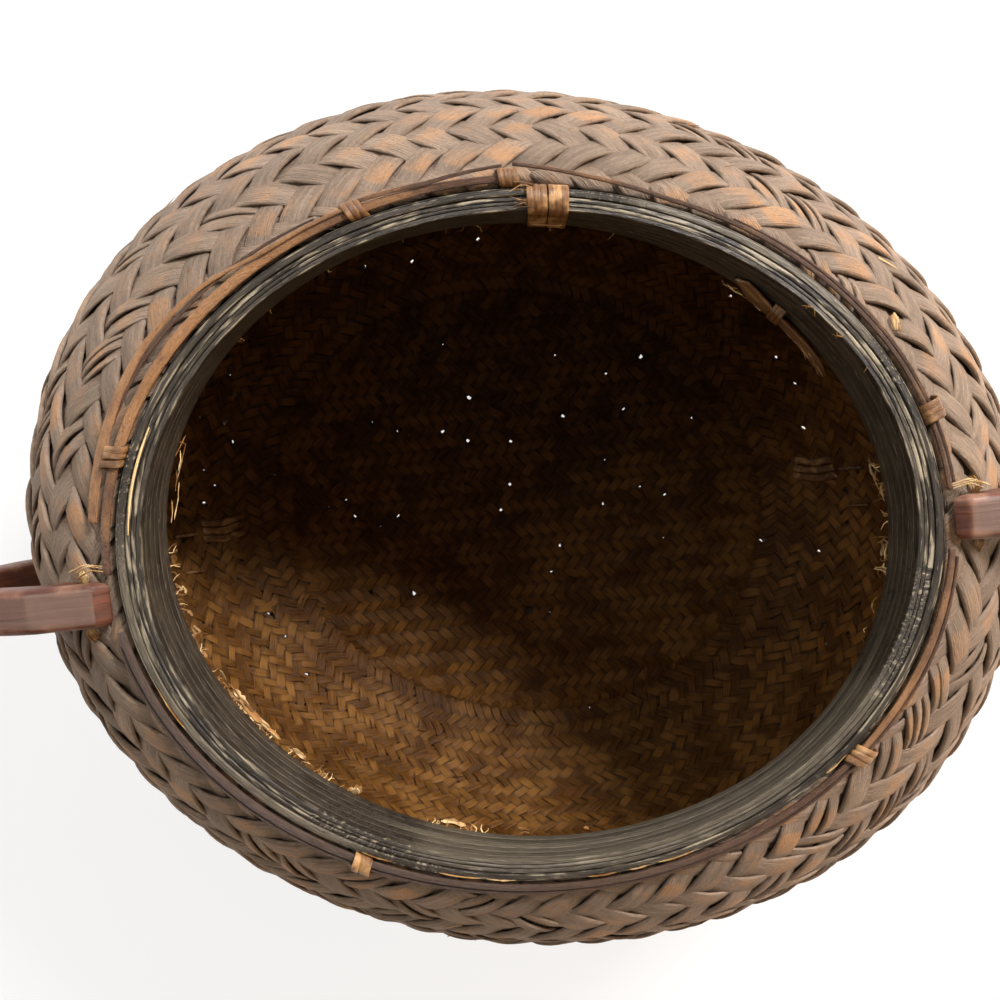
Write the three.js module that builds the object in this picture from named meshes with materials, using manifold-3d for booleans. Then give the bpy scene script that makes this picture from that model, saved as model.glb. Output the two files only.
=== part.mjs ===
// A round gathering basket: a coarse rattan plait over a fine plaited lining, a lacquered band in
// the mouth, rattan strips bound round the rim, two lashed wooden ear handles and a foot hoop.
import * as THREE from 'three';
import { mergeVertices } from 'three/addons/utils/BufferGeometryUtils.js';
import Module from 'manifold-3d';

const wasm = await Module();
wasm.setup();

// Driving dimensions in millimetres, angles in degrees. +Z is up, X runs through the two handles,
// and the origin is the middle of the underside.
const height = 240; // floor to the top of the rim
const mouthLength = 276.6; // outer edge of the rim, the long way
const mouthWidth = 232;
const mouthTurn = -4.3; // the mouth's long way from X, as it was bent by hand
const bellyLength = 409;
const bellyWidth = 349;
const bellyTurn = -17.8;
const bellyHeight = 130; // floor to the widest ring
const baseLength = 268; // flat of the base
const baseWidth = 229;
const shoulderLean = 60; // from upright, where the wall leaves the rim
const lowerLean = 62; // from upright, where the wall meets the base
const baseCorner = 14; // radius between wall and base
const weaveWall = 5; // two crossing rattan strips
const plaitStrips = 60; // strips each way, so as many floats in each row round the wall
const plaitLean = 48; // of a strip, from straight down the wall
const plaitRelief = 1.9; // from the crown of a float down to the hollow beside it
const liningWall = 1.6;
const liningFlare = 7; // height over which the lining leaves the rim for the wall
const liningKnee = 1; // from the hoop's lower edge down to where it starts to
const bandWall = 3;
const bandHeight = 26;
const hoopWall = 2.6;
const hoopHeight = 8;
const ledgeWidth = 6; // top edge of the plait, outside the hoop
const ledgeDrop = 3; // from the top of the rim down to that edge
const stripWidth = 3.8;
const stripRise = 0.6; // top of the edge strips over the top of the rim
const stripChamfer = 1;
const jointGap = 1.1; // half the space between two strips that meet
const tieThickness = 1.2; // split rattan of the small ties
const tieWidth = 7;
const looseWidth = 5;
const looseThickness = 1.4;
const looseGap = 4; // how far the loose strip bows away from the rim
const windingTurns = 6;
const windingPitch = 2.4;
const windingWidth = 1.5;
const windingThickness = 1;
const windingGap = 0.5; // between the winding and what it goes round
const windingCorner = 0.6;
const bandTieHeight = 7;
const bandTieThickness = 2;
const bandTieHang = 2; // how far it hangs below the band
const handleWidth = 15.5; // along the rim
const handleDepth = 14;
const handleChamfer = 1.6;
const handleOffset = -7; // both handles sit a little to the front
const handleSeat = 6; // from the top of the rim down to where the handle leaves it
const handleRise = 2; // top of the handle over the top of the rim
const handleFlat = 22; // flat on top
const handleRamp = 8; // from the rim up to the flat
const handleFacets = 3; // from the flat to the widest place, and again to the foot
const gripGap = 30; // between the belly and the handle
const gripHeight = 136; // floor to the widest place of the handle
const footEnd = 34; // height of the handle's lower end
const footLength = 14; // height of the foot that lies on the wall
const footDepth = 12; // of the foot, where the grip leaves it
const toeDepth = 5; // of its lower end
const lashingHole = 5;
const lashingIn = 13; // from the rim out to the hole
const lashingDrop = 6; // from the top of the rim down to it
const lashingStrand = 3.4;
const lashingRadius = 5; // from the handle's side to where the strand goes down into the wall
const lashingEnd = 22; // from the hole down to the strand's ends, before the wall stops them
const strapWidth = 12;
const strapThickness = 2;
const loopWidth = 12;
const loopBottom = 26;
const loopTop = 42;
const loopOffset = 3; // both inner loops sit a little to the back
const loopThickness = 2.2;
const footHeight = 10;
const footWidth = 9;
const footChamfer = 1;
const footInset = 4; // from the edge of the flat base to the middle of the foot hoop
const footTies = 6;
const footTieWidth = 10;
const footTieClear = 0.7; // floor to the underside of the foot ties
const fitGap = 0.3;

// Places round the basket, in degrees from the right-hand handle
const backJointAngle = 87.7;
const rightJointAngle = -38.8;
const tieAngles = { a: 162.7, b: 112.2, c: backJointAngle, d: 12.2, e: rightJointAngle, f: -123 };
const windingAngle = 81.1;
const bandTieFromAngle = 30;
const bandTieToAngle = 45;
const footTieAngle = 30;

const around = 64; // facets round a full ring
const mouthMean = (mouthLength + mouthWidth) / 4;
const bellyMean = (bellyLength + bellyWidth) / 4;
const baseMean = (baseLength + baseWidth) / 4;
const ledgeTop = height - ledgeDrop;
const ledgeRadius = mouthMean + ledgeWidth;
const tieInner = mouthMean + fitGap;
const stripInner = tieInner + tieThickness + fitGap;
const stripOuter = stripInner + stripWidth;
const stripTop = height + stripRise;
const liningOuter = mouthMean - hoopWall - fitGap;
const bandOuter = liningOuter - liningWall - fitGap;
const bandInner = bandOuter - bandWall;
const footMiddle = baseMean - footInset;

const rattan = new THREE.MeshStandardMaterial({ color: 0x6b5345, roughness: 0.75, metalness: 0 });
const brightRattan = new THREE.MeshStandardMaterial({ color: 0x9a6a3c, roughness: 0.6, metalness: 0 });
const bamboo = new THREE.MeshStandardMaterial({ color: 0x6e4a1e, roughness: 0.7, metalness: 0 });
const lacquer = new THREE.MeshStandardMaterial({ color: 0x2c2c27, roughness: 0.45, metalness: 0 });
const hardwood = new THREE.MeshStandardMaterial({ color: 0x6a4a3e, roughness: 0.5, metalness: 0 });

const basket = new THREE.Group();
const rad = THREE.MathUtils.degToRad;
const deg = THREE.MathUtils.radToDeg;

// One closed skin: shared corners merged, slivers dropped and every face turned outwards
function facingOut(source) {
  const bare = source.clone();
  bare.deleteAttribute('normal');
  bare.deleteAttribute('uv');
  const merged = mergeVertices(bare, 1e-4);
  const place = merged.attributes.position;
  const corners = [0, 1, 2].map(() => new THREE.Vector3());
  const faces = [];
  let volume = 0;
  for (let i = 0; i < merged.index.count; i += 3) {
    const face = [0, 1, 2].map((k) => merged.index.getX(i + k));
    if (new Set(face).size < 3) continue;
    corners.forEach((corner, k) => corner.fromBufferAttribute(place, face[k]));
    volume += corners[0].dot(corners[1].clone().cross(corners[2]));
    faces.push(face);
  }
  const outward = volume > 0 ? faces : faces.map(([a, b, c]) => [a, c, b]);
  merged.setIndex(outward.flat());
  merged.computeVertexNormals();
  return merged;
}

function addPiece(name, geometry, material) {
  const mesh = new THREE.Mesh(facingOut(geometry), material);
  mesh.name = name;
  basket.add(mesh);
}

function meshOf(places, faces) {
  const geometry = new THREE.BufferGeometry();
  geometry.setAttribute('position', new THREE.BufferAttribute(new Float32Array(places), 3));
  geometry.setIndex(Array.from(faces));
  return geometry;
}

function toSolid(geometry) {
  const skin = facingOut(geometry);
  return new wasm.Manifold(new wasm.Mesh({
    numProp: 3,
    vertProperties: new Float32Array(skin.attributes.position.array),
    triVerts: new Uint32Array(skin.index.array),
  }));
}

function cut(geometry, ...tools) {
  const left = tools.reduce((solid, tool) => solid.subtract(toSolid(tool)), toSolid(geometry));
  const mesh = left.getMesh();
  return meshOf(mesh.vertProperties, mesh.triVerts);
}

// The oval plan. What follows the wall is first made round, then pressed to this oval, which turns
// and widens from the mouth's to the belly's on the way down and ends as the base's.
function ellipseRadius(angle, length, width, turn) {
  const a = angle - rad(turn);
  return 1 / Math.hypot(Math.cos(a) / (length / 2), Math.sin(a) / (width / 2));
}

function shoulderShare(z) {
  const lean = rad(shoulderLean);
  const rise = THREE.MathUtils.clamp((z - bellyHeight) / (ledgeTop - bellyHeight), 0, 1);
  const a = Math.asin(rise * Math.sin(lean));
  return (Math.cos(a) - Math.cos(lean)) / (1 - Math.cos(lean));
}

function ovalFactor(angle, z) {
  const mouth = ellipseRadius(angle, mouthLength, mouthWidth, mouthTurn) / mouthMean;
  const belly = ellipseRadius(angle, bellyLength, bellyWidth, bellyTurn) / bellyMean;
  const base = ellipseRadius(angle, baseLength, baseWidth, bellyTurn) / baseMean;
  const drop = THREE.MathUtils.clamp((bellyHeight - z) / (bellyHeight - footHeight), 0, 1);
  return mouth + (belly - mouth) * shoulderShare(z) + (base - belly) * drop;
}

function pressOval(geometry) {
  const place = geometry.attributes.position;
  for (let i = 0; i < place.count; i += 1) {
    const [x, y, z] = [place.getX(i), place.getY(i), place.getZ(i)];
    const factor = ovalFactor(Math.atan2(y, x), z);
    place.setXYZ(i, x * factor, y * factor, z);
  }
  return geometry;
}

// The wall's outer face from the ledge down to the middle of the base, as [radius, height]: an
// arc over the shoulder, an arc under the belly, the base corner and the flat base
function outerLine() {
  const shoulderSteps = 9;
  const lowerSteps = 7;
  const [top, low] = [rad(shoulderLean), rad(lowerLean)];
  const cornerTurn = Math.PI / 2 - low;
  const cornerRadius = baseMean + baseCorner * Math.sin(cornerTurn);
  const cornerHeight = footHeight + baseCorner * (1 - Math.cos(cornerTurn));
  const arc = (lean, share, endRadius, endHeight) => {
    const inward = (1 - Math.cos(lean * share)) / (1 - Math.cos(lean));
    const run = Math.sin(lean * share) / Math.sin(lean);
    return [bellyMean + (endRadius - bellyMean) * inward, bellyHeight + (endHeight - bellyHeight) * run];
  };
  const line = [];
  for (let i = shoulderSteps; i > 0; i -= 1) {
    line.push(arc(top, i / shoulderSteps, ledgeRadius, ledgeTop));
  }
  for (let i = 0; i <= lowerSteps; i += 1) {
    line.push(arc(low, i / lowerSteps, cornerRadius, cornerHeight));
  }
  line.push([baseMean, footHeight], [baseMean / 2, footHeight], [0, footHeight]);
  return line;
}

// The same line moved into the wall by a depth, or out of it by a negative one
function wallLine(depth) {
  const line = outerLine();
  return line.map(([r, z], i) => {
    const before = line[Math.max(i - 1, 0)];
    const after = line[Math.min(i + 1, line.length - 1)];
    const along = new THREE.Vector2(after[0] - before[0], after[1] - before[1]).normalize();
    return [r === 0 ? 0 : r + along.y * depth, z - along.x * depth];
  });
}

// The first point of a line at a radius (index 0) or at a height (index 1). A value that lies before
// the line's upper end is found on its first stretch, drawn on.
function pointAt(line, index, value) {
  const ahead = (value - line[0][index]) * (line[1][index] - line[0][index]) > 0;
  const passes = (_, i) => (line[i][index] - value) * (line[i + 1][index] - value) <= 0;
  const found = ahead ? line.slice(0, -1).findIndex(passes) : 0;
  const [a, b] = line.slice(found, found + 2);
  const share = (value - a[index]) / (b[index] - a[index]);
  return [a[0] + (b[0] - a[0]) * share, a[1] + (b[1] - a[1]) * share];
}

function lathe(line, facets = around) {
  const points = line.map(([r, z]) => new THREE.Vector2(r, z));
  return pressOval(new THREE.LatheGeometry(points, facets).rotateX(Math.PI / 2));
}

// A bar that follows the oval: an outline of [radius, height] points carried round from one angle
// to another, and capped at its ends unless it goes all the way
function ring(outline, from = 0, to = 360) {
  const whole = to - from === 360;
  const steps = Math.max(2, Math.ceil((to - from) / (360 / around)));
  const stations = whole ? steps : steps + 1;
  const outlineAt = typeof outline === 'function' ? outline : () => outline;
  const count = outlineAt(from).length;
  const places = [];
  for (let i = 0; i < stations; i += 1) {
    const angle = from + ((to - from) * i) / steps;
    for (const [r, z] of outlineAt(angle)) {
      places.push(r * Math.cos(rad(angle)), r * Math.sin(rad(angle)), z);
    }
  }
  const faces = [];
  for (let i = 0; i < steps; i += 1) {
    const here = i * count;
    const next = ((i + 1) % stations) * count;
    for (let j = 0; j < count; j += 1) {
      const k = (j + 1) % count;
      faces.push(here + j, next + j, next + k, here + j, next + k, here + k);
    }
  }
  if (!whole) {
    const last = steps * count;
    const corners = (angle) => outlineAt(angle).map(([r, z]) => new THREE.Vector2(r, z));
    THREE.ShapeUtils.triangulateShape(corners(from), []).forEach(([a, b, c]) => faces.push(a, b, c));
    THREE.ShapeUtils.triangulateShape(corners(to), [])
      .forEach(([a, b, c]) => faces.push(last + a, last + c, last + b));
  }
  return pressOval(meshOf(places, faces));
}

function block(inner, outer, bottom, top) {
  return [[inner, bottom], [outer, bottom], [outer, top], [inner, top]];
}

// One unbroken strip of six sides through a list of points. flat says which way its width lies.
function strand(points, flat, width, thickness) {
  const sides = 6;
  const places = [];
  const faces = [];
  points.forEach((point, i) => {
    const before = points[Math.max(i - 1, 0)];
    const after = points[Math.min(i + 1, points.length - 1)];
    const along = after.clone().sub(before).normalize();
    const out = new THREE.Vector3().crossVectors(along, flat).normalize();
    const across = new THREE.Vector3().crossVectors(out, along);
    for (let j = 0; j < sides; j += 1) {
      const a = (Math.PI * 2 * j) / sides;
      const corner = point.clone().addScaledVector(across, (Math.cos(a) * width) / 2);
      corner.addScaledVector(out, (Math.sin(a) / Math.sin(Math.PI / 3)) * (thickness / 2));
      places.push(corner.x, corner.y, corner.z);
    }
  });
  for (let i = 0; i + 1 < points.length; i += 1) {
    for (let j = 0; j < sides; j += 1) {
      const k = (j + 1) % sides;
      const [here, next] = [i * sides, (i + 1) * sides];
      faces.push(here + j, here + k, next + k, here + j, next + k, next + j);
    }
  }
  const last = (points.length - 1) * sides;
  for (let j = 1; j + 1 < sides; j += 1) {
    faces.push(0, j + 1, j, last, last + j, last + j + 1);
  }
  return meshOf(places, faces);
}

// The edges of the plait's rows, from the ledge to the flat base, as [radius, height, and the outward
// way as radius and height]. A row is as high as a strip needs to move on by one strip's place.
function plaitRows() {
  const line = outerLine().slice(0, -2);
  const turned = [0];
  line.slice(1).forEach(([r, z], i) => {
    const run = Math.hypot(r - line[i][0], z - line[i][1]);
    turned.push(turned[i] + (2 * run * Math.tan(rad(plaitLean))) / (r + line[i][0]));
  });
  const total = turned[turned.length - 1];
  const rows = Math.round((total * plaitStrips) / (2 * Math.PI));
  return Array.from({ length: rows + 1 }, (_, i) => {
    const next = i === rows ? line.length - 1 : turned.findIndex((turn) => turn > (total * i) / rows);
    const [a, b] = [line[next - 1], line[next]];
    const share = ((total * i) / rows - turned[next - 1]) / (turned[next] - turned[next - 1]);
    const along = new THREE.Vector2(b[0] - a[0], b[1] - a[1]).normalize();
    return [a[0] + (b[0] - a[0]) * share, a[1] + (b[1] - a[1]) * share, -along.y, along.x];
  });
}

// Body: a coarse plait outside, a fine one inside, a lacquered band and a hoop that pinch both. The
// coarse plait's floats lean one way in one row and back in the next, with a hollow between them.
function plaitBody() {
  const rows = plaitRows();
  const columns = 2 * plaitStrips;
  const places = [0, 0, ledgeTop, 0, 0, footHeight];
  rows.forEach(([r, z, outR, outZ], i) => {
    const end = i === 0 || i === rows.length - 1;
    for (let j = 0; j < columns; j += 1) {
      const depth = end || j % 2 === 0 ? 0 : plaitRelief;
      const angle = (2 * Math.PI * (j + 2 * (i % 2))) / columns;
      const radius = r - outR * depth;
      places.push(radius * Math.cos(angle), radius * Math.sin(angle), z - outZ * depth);
    }
  });
  const at = (i, j) => 2 + i * columns + (j % columns);
  const faces = [];
  for (let j = 0; j < columns; j += 1) {
    faces.push(0, at(0, j), at(0, j + 1));
    for (let i = 0; i + 1 < rows.length; i += 1) {
      faces.push(at(i, j), at(i + 1, j), at(i + 1, j + 1), at(i, j), at(i + 1, j + 1), at(i, j + 1));
    }
    faces.push(1, at(rows.length - 1, j + 1), at(rows.length - 1, j));
  }
  return pressOval(meshOf(places, faces));
}

function weaveShell() {
  const inside = wallLine(weaveWall);
  const corner = mouthMean + 2 * fitGap;
  const above = ledgeTop + weaveWall;
  return cut(plaitBody(), lathe([[0, above], [corner, above], pointAt(inside, 0, corner), ...inside]));
}

function liningShell() {
  const kneeHeight = height - hoopHeight - liningKnee;
  const joinHeight = kneeHeight - liningFlare;
  const side = (depth) => [
    [liningOuter - depth, height],
    [liningOuter - depth, kneeHeight - depth],
    ...wallLine(weaveWall + fitGap + depth).filter(([, z]) => z < joinHeight),
  ];
  return lathe([...side(0).reverse(), ...side(liningWall)]);
}

function bodyRoom() {
  const line = wallLine(-fitGap);
  return lathe([...line.reverse(), [0, ledgeTop + fitGap]], 2 * plaitStrips);
}

// The winding over the band's joint: once round the band and the hoop for each turn
const windingInner = bandInner - windingGap - windingThickness / 2;
const windingOuter = mouthMean + windingGap + windingThickness / 2;
const windingTop = height + windingGap + windingThickness / 2;
const windingBottom = height - bandHeight - windingGap - windingThickness / 2;
const windingSteps = 24;

function windingPath() {
  const [top, bottom] = [windingTop - windingCorner, windingBottom + windingCorner];
  const [inner, outer] = [windingInner + windingCorner, windingOuter - windingCorner];
  const sides = [
    [windingOuter, top, windingOuter, bottom, 8],
    [outer, windingBottom, inner, windingBottom, 4],
    [windingInner, bottom, windingInner, top, 8],
    [inner, windingTop, outer, windingTop, 4],
  ];
  const loop = sides.flatMap(([r0, z0, r1, z1, count]) => Array.from({ length: count }, (_, i) => {
    const share = i / (count - 1);
    return [r0 + (r1 - r0) * share, z0 + (z1 - z0) * share];
  }));
  const total = windingTurns * windingSteps;
  return Array.from({ length: total + 1 }, (_, i) => {
    const [r, z] = loop[i % windingSteps];
    const angle = rad(windingAngle) + ((i / total - 0.5) * windingTurns * windingPitch) / mouthMean;
    const factor = ovalFactor(angle, z);
    return new THREE.Vector3(r * factor * Math.cos(angle), r * factor * Math.sin(angle), z);
  });
}

function leastTurnGap(geometry) {
  const place = geometry.attributes.position;
  const sides = 6;
  const [a, b] = [new THREE.Vector3(), new THREE.Vector3()];
  let least = Infinity;
  for (let i = 0; i < place.count; i += 1) {
    a.fromBufferAttribute(place, i);
    for (let j = i + (windingSteps / 2) * sides; j < place.count; j += 1) {
      least = Math.min(least, a.distanceTo(b.fromBufferAttribute(place, j)));
    }
  }
  return least;
}

function windingPocket() {
  const half = deg((windingTurns * windingPitch + windingWidth) / 2 + 2 * fitGap) / mouthMean;
  const inner = windingOuter - windingThickness / 2 - fitGap;
  const outer = windingOuter + windingThickness / 2 + fitGap;
  const outline = block(inner, outer, windingBottom - windingThickness, windingTop + windingThickness);
  return ring(outline, windingAngle - half, windingAngle + half);
}

// Rim: strips that lie on the ledge, and small ties over them whose ends go into the plait
function stripOutline() {
  const bottom = ledgeTop + fitGap;
  return [
    [stripInner, bottom],
    [stripOuter, bottom],
    [stripOuter, stripTop - stripChamfer],
    [stripOuter - stripChamfer, stripTop],
    [stripInner + stripChamfer, stripTop],
    [stripInner, stripTop - stripChamfer],
  ];
}

function tieOutline() {
  const [bottom, top] = [ledgeTop + fitGap, stripTop + fitGap];
  const outer = stripOuter + fitGap;
  return [
    [tieInner, bottom],
    [tieInner + tieThickness, bottom],
    [tieInner + tieThickness, top],
    [outer, top],
    [outer, bottom],
    [outer + tieThickness, bottom],
    [outer + tieThickness, top],
    [outer, top + tieThickness],
    [tieInner + tieThickness, top + tieThickness],
    [tieInner, top],
  ];
}

function tieHalf(width, radius) {
  return deg(width / 2 / radius);
}

function looseOutline(from, to) {
  const under = wallLine(-fitGap);
  const over = wallLine(-fitGap - looseThickness);
  return (angle) => {
    const bow = looseGap * Math.sin((Math.PI * (angle - from)) / (to - from));
    const start = ledgeRadius + fitGap + bow;
    const end = start + looseWidth;
    return [[under, start], [under, end], [over, end], [over, start]].map(([l, r]) => pointAt(l, 0, r));
  };
}

// Handles: a faceted ear that leaves the rim, stands clear of the belly and lies back on the wall
const rimX = mouthMean * ovalFactor(0, height) + fitGap;
const bellyX = bellyMean * ovalFactor(0, bellyHeight);
const handleReach = bellyX + gripGap + handleDepth;

function wallX(z) {
  return pointAt(wallLine(0), 1, z)[0] * ovalFactor(0, z);
}

// A line of points moved sideways by a distance, mitred at its corners
function besideLine(points, distance) {
  const normal = (a, b) => new THREE.Vector2(b[1] - a[1], a[0] - b[0]).normalize();
  return points.slice(1, -1).map(([x, z], i) => {
    const [n1, n2] = [normal(points[i], points[i + 1]), normal(points[i + 1], points[i + 2])];
    const mitre = n1.clone().add(n2);
    mitre.multiplyScalar((2 * distance) / mitre.lengthSq());
    return [x + mitre.x, z + mitre.y];
  });
}

// Its back as [x, z]: a ramp and a flat, then a quarter of an ellipse to the widest place and
// another to the foot, both in straight facets
const flatEnd = [rimX + handleRamp + handleFlat, height + handleRise];
const footStart = [wallX(footEnd + footLength) + footDepth, footEnd + footLength];
const quarter = ([x, z]) => Array.from({ length: handleFacets + 1 }, (_, i) => {
  const a = (Math.PI / 2) * (i / handleFacets);
  return [x + (handleReach - x) * Math.sin(a), gripHeight + (z - gripHeight) * Math.cos(a)];
});
const handleBack = [
  [rimX, height - handleSeat],
  [rimX + handleRamp, height + handleRise],
  ...quarter(flatEnd),
  ...quarter(footStart).reverse().slice(1),
  [wallX(footEnd) + toeDepth, footEnd],
];

function handleShape() {
  const grip = besideLine(handleBack.slice(1), handleDepth).reverse();
  const seatBottom = height - 2 * handleDepth;
  return new THREE.Shape([
    ...handleBack,
    [wallX(footEnd) - handleDepth, footEnd],
    ...grip,
    [rimX + handleDepth, seatBottom],
    [rimX, seatBottom],
  ].map(([x, z]) => new THREE.Vector2(x, z)));
}

function standHandle(geometry, side) {
  const turned = side < 0 ? geometry.rotateZ(Math.PI) : geometry;
  return turned.translate(0, handleOffset, 0);
}

const lashingX = rimX + lashingIn;
const lashingZ = height - lashingDrop;

function lashingTunnel() {
  const tunnel = new THREE.CylinderGeometry(lashingHole / 2, lashingHole / 2, 2 * handleWidth, 12);
  return tunnel.translate(lashingX, 0, lashingZ);
}

function handle(side) {
  const ear = new THREE.ExtrudeGeometry(handleShape(), {
    depth: handleWidth - 2 * handleChamfer,
    bevelThickness: handleChamfer,
    bevelSize: handleChamfer,
    bevelOffset: -handleChamfer,
    bevelSegments: 1,
  });
  ear.rotateX(Math.PI / 2).translate(0, handleWidth / 2 - handleChamfer, 0);
  const drilled = cut(ear, lashingTunnel());
  return cut(standHandle(drilled, side), bodyRoom());
}

// One strand through the hole, bent down beside the handle on both sides
function lashing(side) {
  const bend = [90, 60, 30, 0].map((a) => [Math.sin(rad(a)), Math.cos(rad(a)) - 1]);
  const half = [[1, -lashingEnd / lashingRadius], ...bend];
  const line = [...half, ...half.map(([out, up]) => [-out, up]).reverse()];
  const points = line.map(([out, up]) => {
    const y = out * lashingRadius + (Math.sign(out) * handleWidth) / 2;
    return new THREE.Vector3(lashingX, y, lashingZ + up * lashingRadius);
  });
  const bar = strand(points, new THREE.Vector3(1, 0, 0), lashingStrand, lashingStrand);
  return cut(standHandle(bar, side), bodyRoom());
}

// The strap over the handle's lower foot, with both ends in the plait
function strap(side) {
  const [upper, lower] = handleBack.slice(-2).map(([x, z]) => new THREE.Vector3(x, 0, z));
  const along = lower.clone().sub(upper).normalize();
  const across = new THREE.Vector3(0, 1, 0);
  const out = new THREE.Vector3().crossVectors(along, across);
  const inner = handleWidth / 2 + fitGap;
  const outer = inner + strapThickness;
  const foot = -2 * handleDepth;
  const corner = strapThickness / 2;
  const outline = new THREE.Shape([
    [-outer, foot], [-inner, foot], [-inner, fitGap], [inner, fitGap], [inner, foot], [outer, foot],
    [outer, fitGap + corner], [outer - corner, fitGap + strapThickness],
    [corner - outer, fitGap + strapThickness], [-outer, fitGap + corner],
  ].map(([y, n]) => new THREE.Vector2(y, n)));
  const bent = new THREE.ExtrudeGeometry(outline, { depth: strapWidth, bevelEnabled: false });
  bent.translate(0, 0, -strapWidth / 2);
  bent.applyMatrix4(new THREE.Matrix4().makeBasis(across, out, along));
  bent.translate((upper.x + lower.x) / 2, 0, (upper.z + lower.z) / 2);
  return cut(standHandle(bent, side), bodyRoom());
}

// Where the same lashing comes through to the inside, flat on the lining
function innerLoop(side) {
  const skin = weaveWall + fitGap + liningWall + fitGap;
  const [near, far] = [wallLine(skin), wallLine(skin + loopThickness)];
  const outline = [
    pointAt(near, 1, loopTop),
    pointAt(far, 1, loopTop),
    pointAt(far, 1, loopBottom),
    pointAt(near, 1, loopBottom),
  ];
  const radius = outline[0][0];
  const turn = deg(Math.asin(loopOffset / radius));
  const middle = side > 0 ? turn : 180 - turn;
  const half = tieHalf(loopWidth, radius);
  return ring(outline, middle - half, middle + half);
}

// Foot: a hoop under the base, notched where the ties pass under it
const notchTop = footTieClear + tieThickness + fitGap;

function footTieOutline() {
  const inner = footMiddle - footWidth / 2 - fitGap;
  const outer = footMiddle + footWidth / 2 + fitGap;
  const [bottom, top] = [footTieClear, footHeight - fitGap];
  return [
    [inner - tieThickness, top],
    [inner - tieThickness, bottom],
    [outer + tieThickness, bottom],
    [outer + tieThickness, top],
    [outer, top],
    [outer, bottom + tieThickness],
    [inner, bottom + tieThickness],
    [inner, top],
  ];
}

const footTieAngles = Array.from({ length: footTies }, (_, i) => footTieAngle + (360 / footTies) * i);

function footHoop() {
  const [inner, outer] = [footMiddle - footWidth / 2, footMiddle + footWidth / 2];
  const top = footHeight - fitGap;
  const hoop = ring([
    [inner + footChamfer, 0],
    [outer - footChamfer, 0],
    [outer, footChamfer],
    [outer, top],
    [inner, top],
    [inner, footChamfer],
  ]);
  const half = tieHalf(footTieWidth + 4 * fitGap, footMiddle);
  const notch = block(inner - footWidth, outer + footWidth, -footHeight, notchTop);
  return cut(hoop, ...footTieAngles.map((angle) => ring(notch, angle - half, angle + half)));
}

addPiece('outer_weave', cut(weaveShell(), windingPocket()), rattan);
addPiece('inner_lining', cut(liningShell(), windingPocket()), bamboo);
addPiece('rim_inner_band', ring(block(bandInner, bandOuter, height - bandHeight, height)), lacquer);
addPiece('rim_hoop', ring(block(mouthMean - hoopWall, mouthMean, height - hoopHeight, height)), lacquer);

const handleMiddle = deg(Math.asin(handleOffset / rimX));
const handleSpan = deg((handleWidth / 2 + stripWidth / 2) / rimX);
const [leftBack, leftFront] = [180 - handleMiddle - handleSpan, -180 - handleMiddle + handleSpan];
const jointHalfAngle = deg(jointGap / mouthMean);
const stripSpans = {
  rim_strip_back_left: [backJointAngle + jointHalfAngle, leftBack],
  rim_strip_back_right: [handleMiddle + handleSpan, backJointAngle - jointHalfAngle],
  rim_strip_front_right: [rightJointAngle + jointHalfAngle, handleMiddle - handleSpan],
  rim_strip_front: [leftFront, rightJointAngle - jointHalfAngle],
};
for (const [name, [from, to]] of Object.entries(stripSpans)) {
  addPiece(name, ring(stripOutline(), from, to), rattan);
}
for (const [letter, angle] of Object.entries(tieAngles)) {
  const half = tieHalf(tieWidth, mouthMean);
  addPiece(`rim_tie_${letter}`, ring(tieOutline(), angle - half, angle + half), brightRattan);
}

const tieSpan = tieHalf(tieWidth, mouthMean) + jointHalfAngle;
const [looseFrom, looseTo] = [tieAngles.b + tieSpan, tieAngles.a - tieSpan];
addPiece('rim_loose_strip', ring(looseOutline(looseFrom, looseTo), looseFrom, looseTo), brightRattan);

const windingFlat = new THREE.Vector3(-Math.sin(rad(windingAngle)), Math.cos(rad(windingAngle)), 0);
const winding = strand(windingPath(), windingFlat, windingWidth, windingThickness);
console.log(`rim_joint_winding: least gap between turns ${leastTurnGap(winding).toFixed(2)} mm`);
addPiece('rim_joint_winding', winding, brightRattan);

const bandTieOuter = bandInner - fitGap;
const bandTieBottom = height - bandHeight - bandTieHang;
const bandTieTop = bandTieBottom + bandTieHeight;
const bandTie = block(bandTieOuter - bandTieThickness, bandTieOuter, bandTieBottom, bandTieTop);
addPiece('band_tie', ring(bandTie, bandTieFromAngle, bandTieToAngle), brightRattan);

for (const [place, side] of [['right', 1], ['left', -1]]) {
  addPiece(`handle_${place}`, handle(side), hardwood);
  addPiece(`handle_${place}_lashing`, lashing(side), brightRattan);
  addPiece(`handle_${place}_strap`, strap(side), brightRattan);
  addPiece(`handle_${place}_inner_loop`, innerLoop(side), brightRattan);
}

addPiece('foot_hoop', footHoop(), rattan);
footTieAngles.forEach((angle, i) => {
  const half = tieHalf(footTieWidth, footMiddle);
  addPiece(`foot_tie_${i + 1}`, ring(footTieOutline(), angle - half, angle + half), brightRattan);
});

export default basket;
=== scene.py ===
# A gathering basket: rattan plait over bamboo plait, a lacquered mouth, two ear handles and a foot hoop
import random
from math import asin, atan2, cos, degrees, hypot, pi, radians, sin, sqrt, tanh

import bmesh
import bpy
import numpy as np
from mathutils import Matrix, Vector, noise


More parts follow.
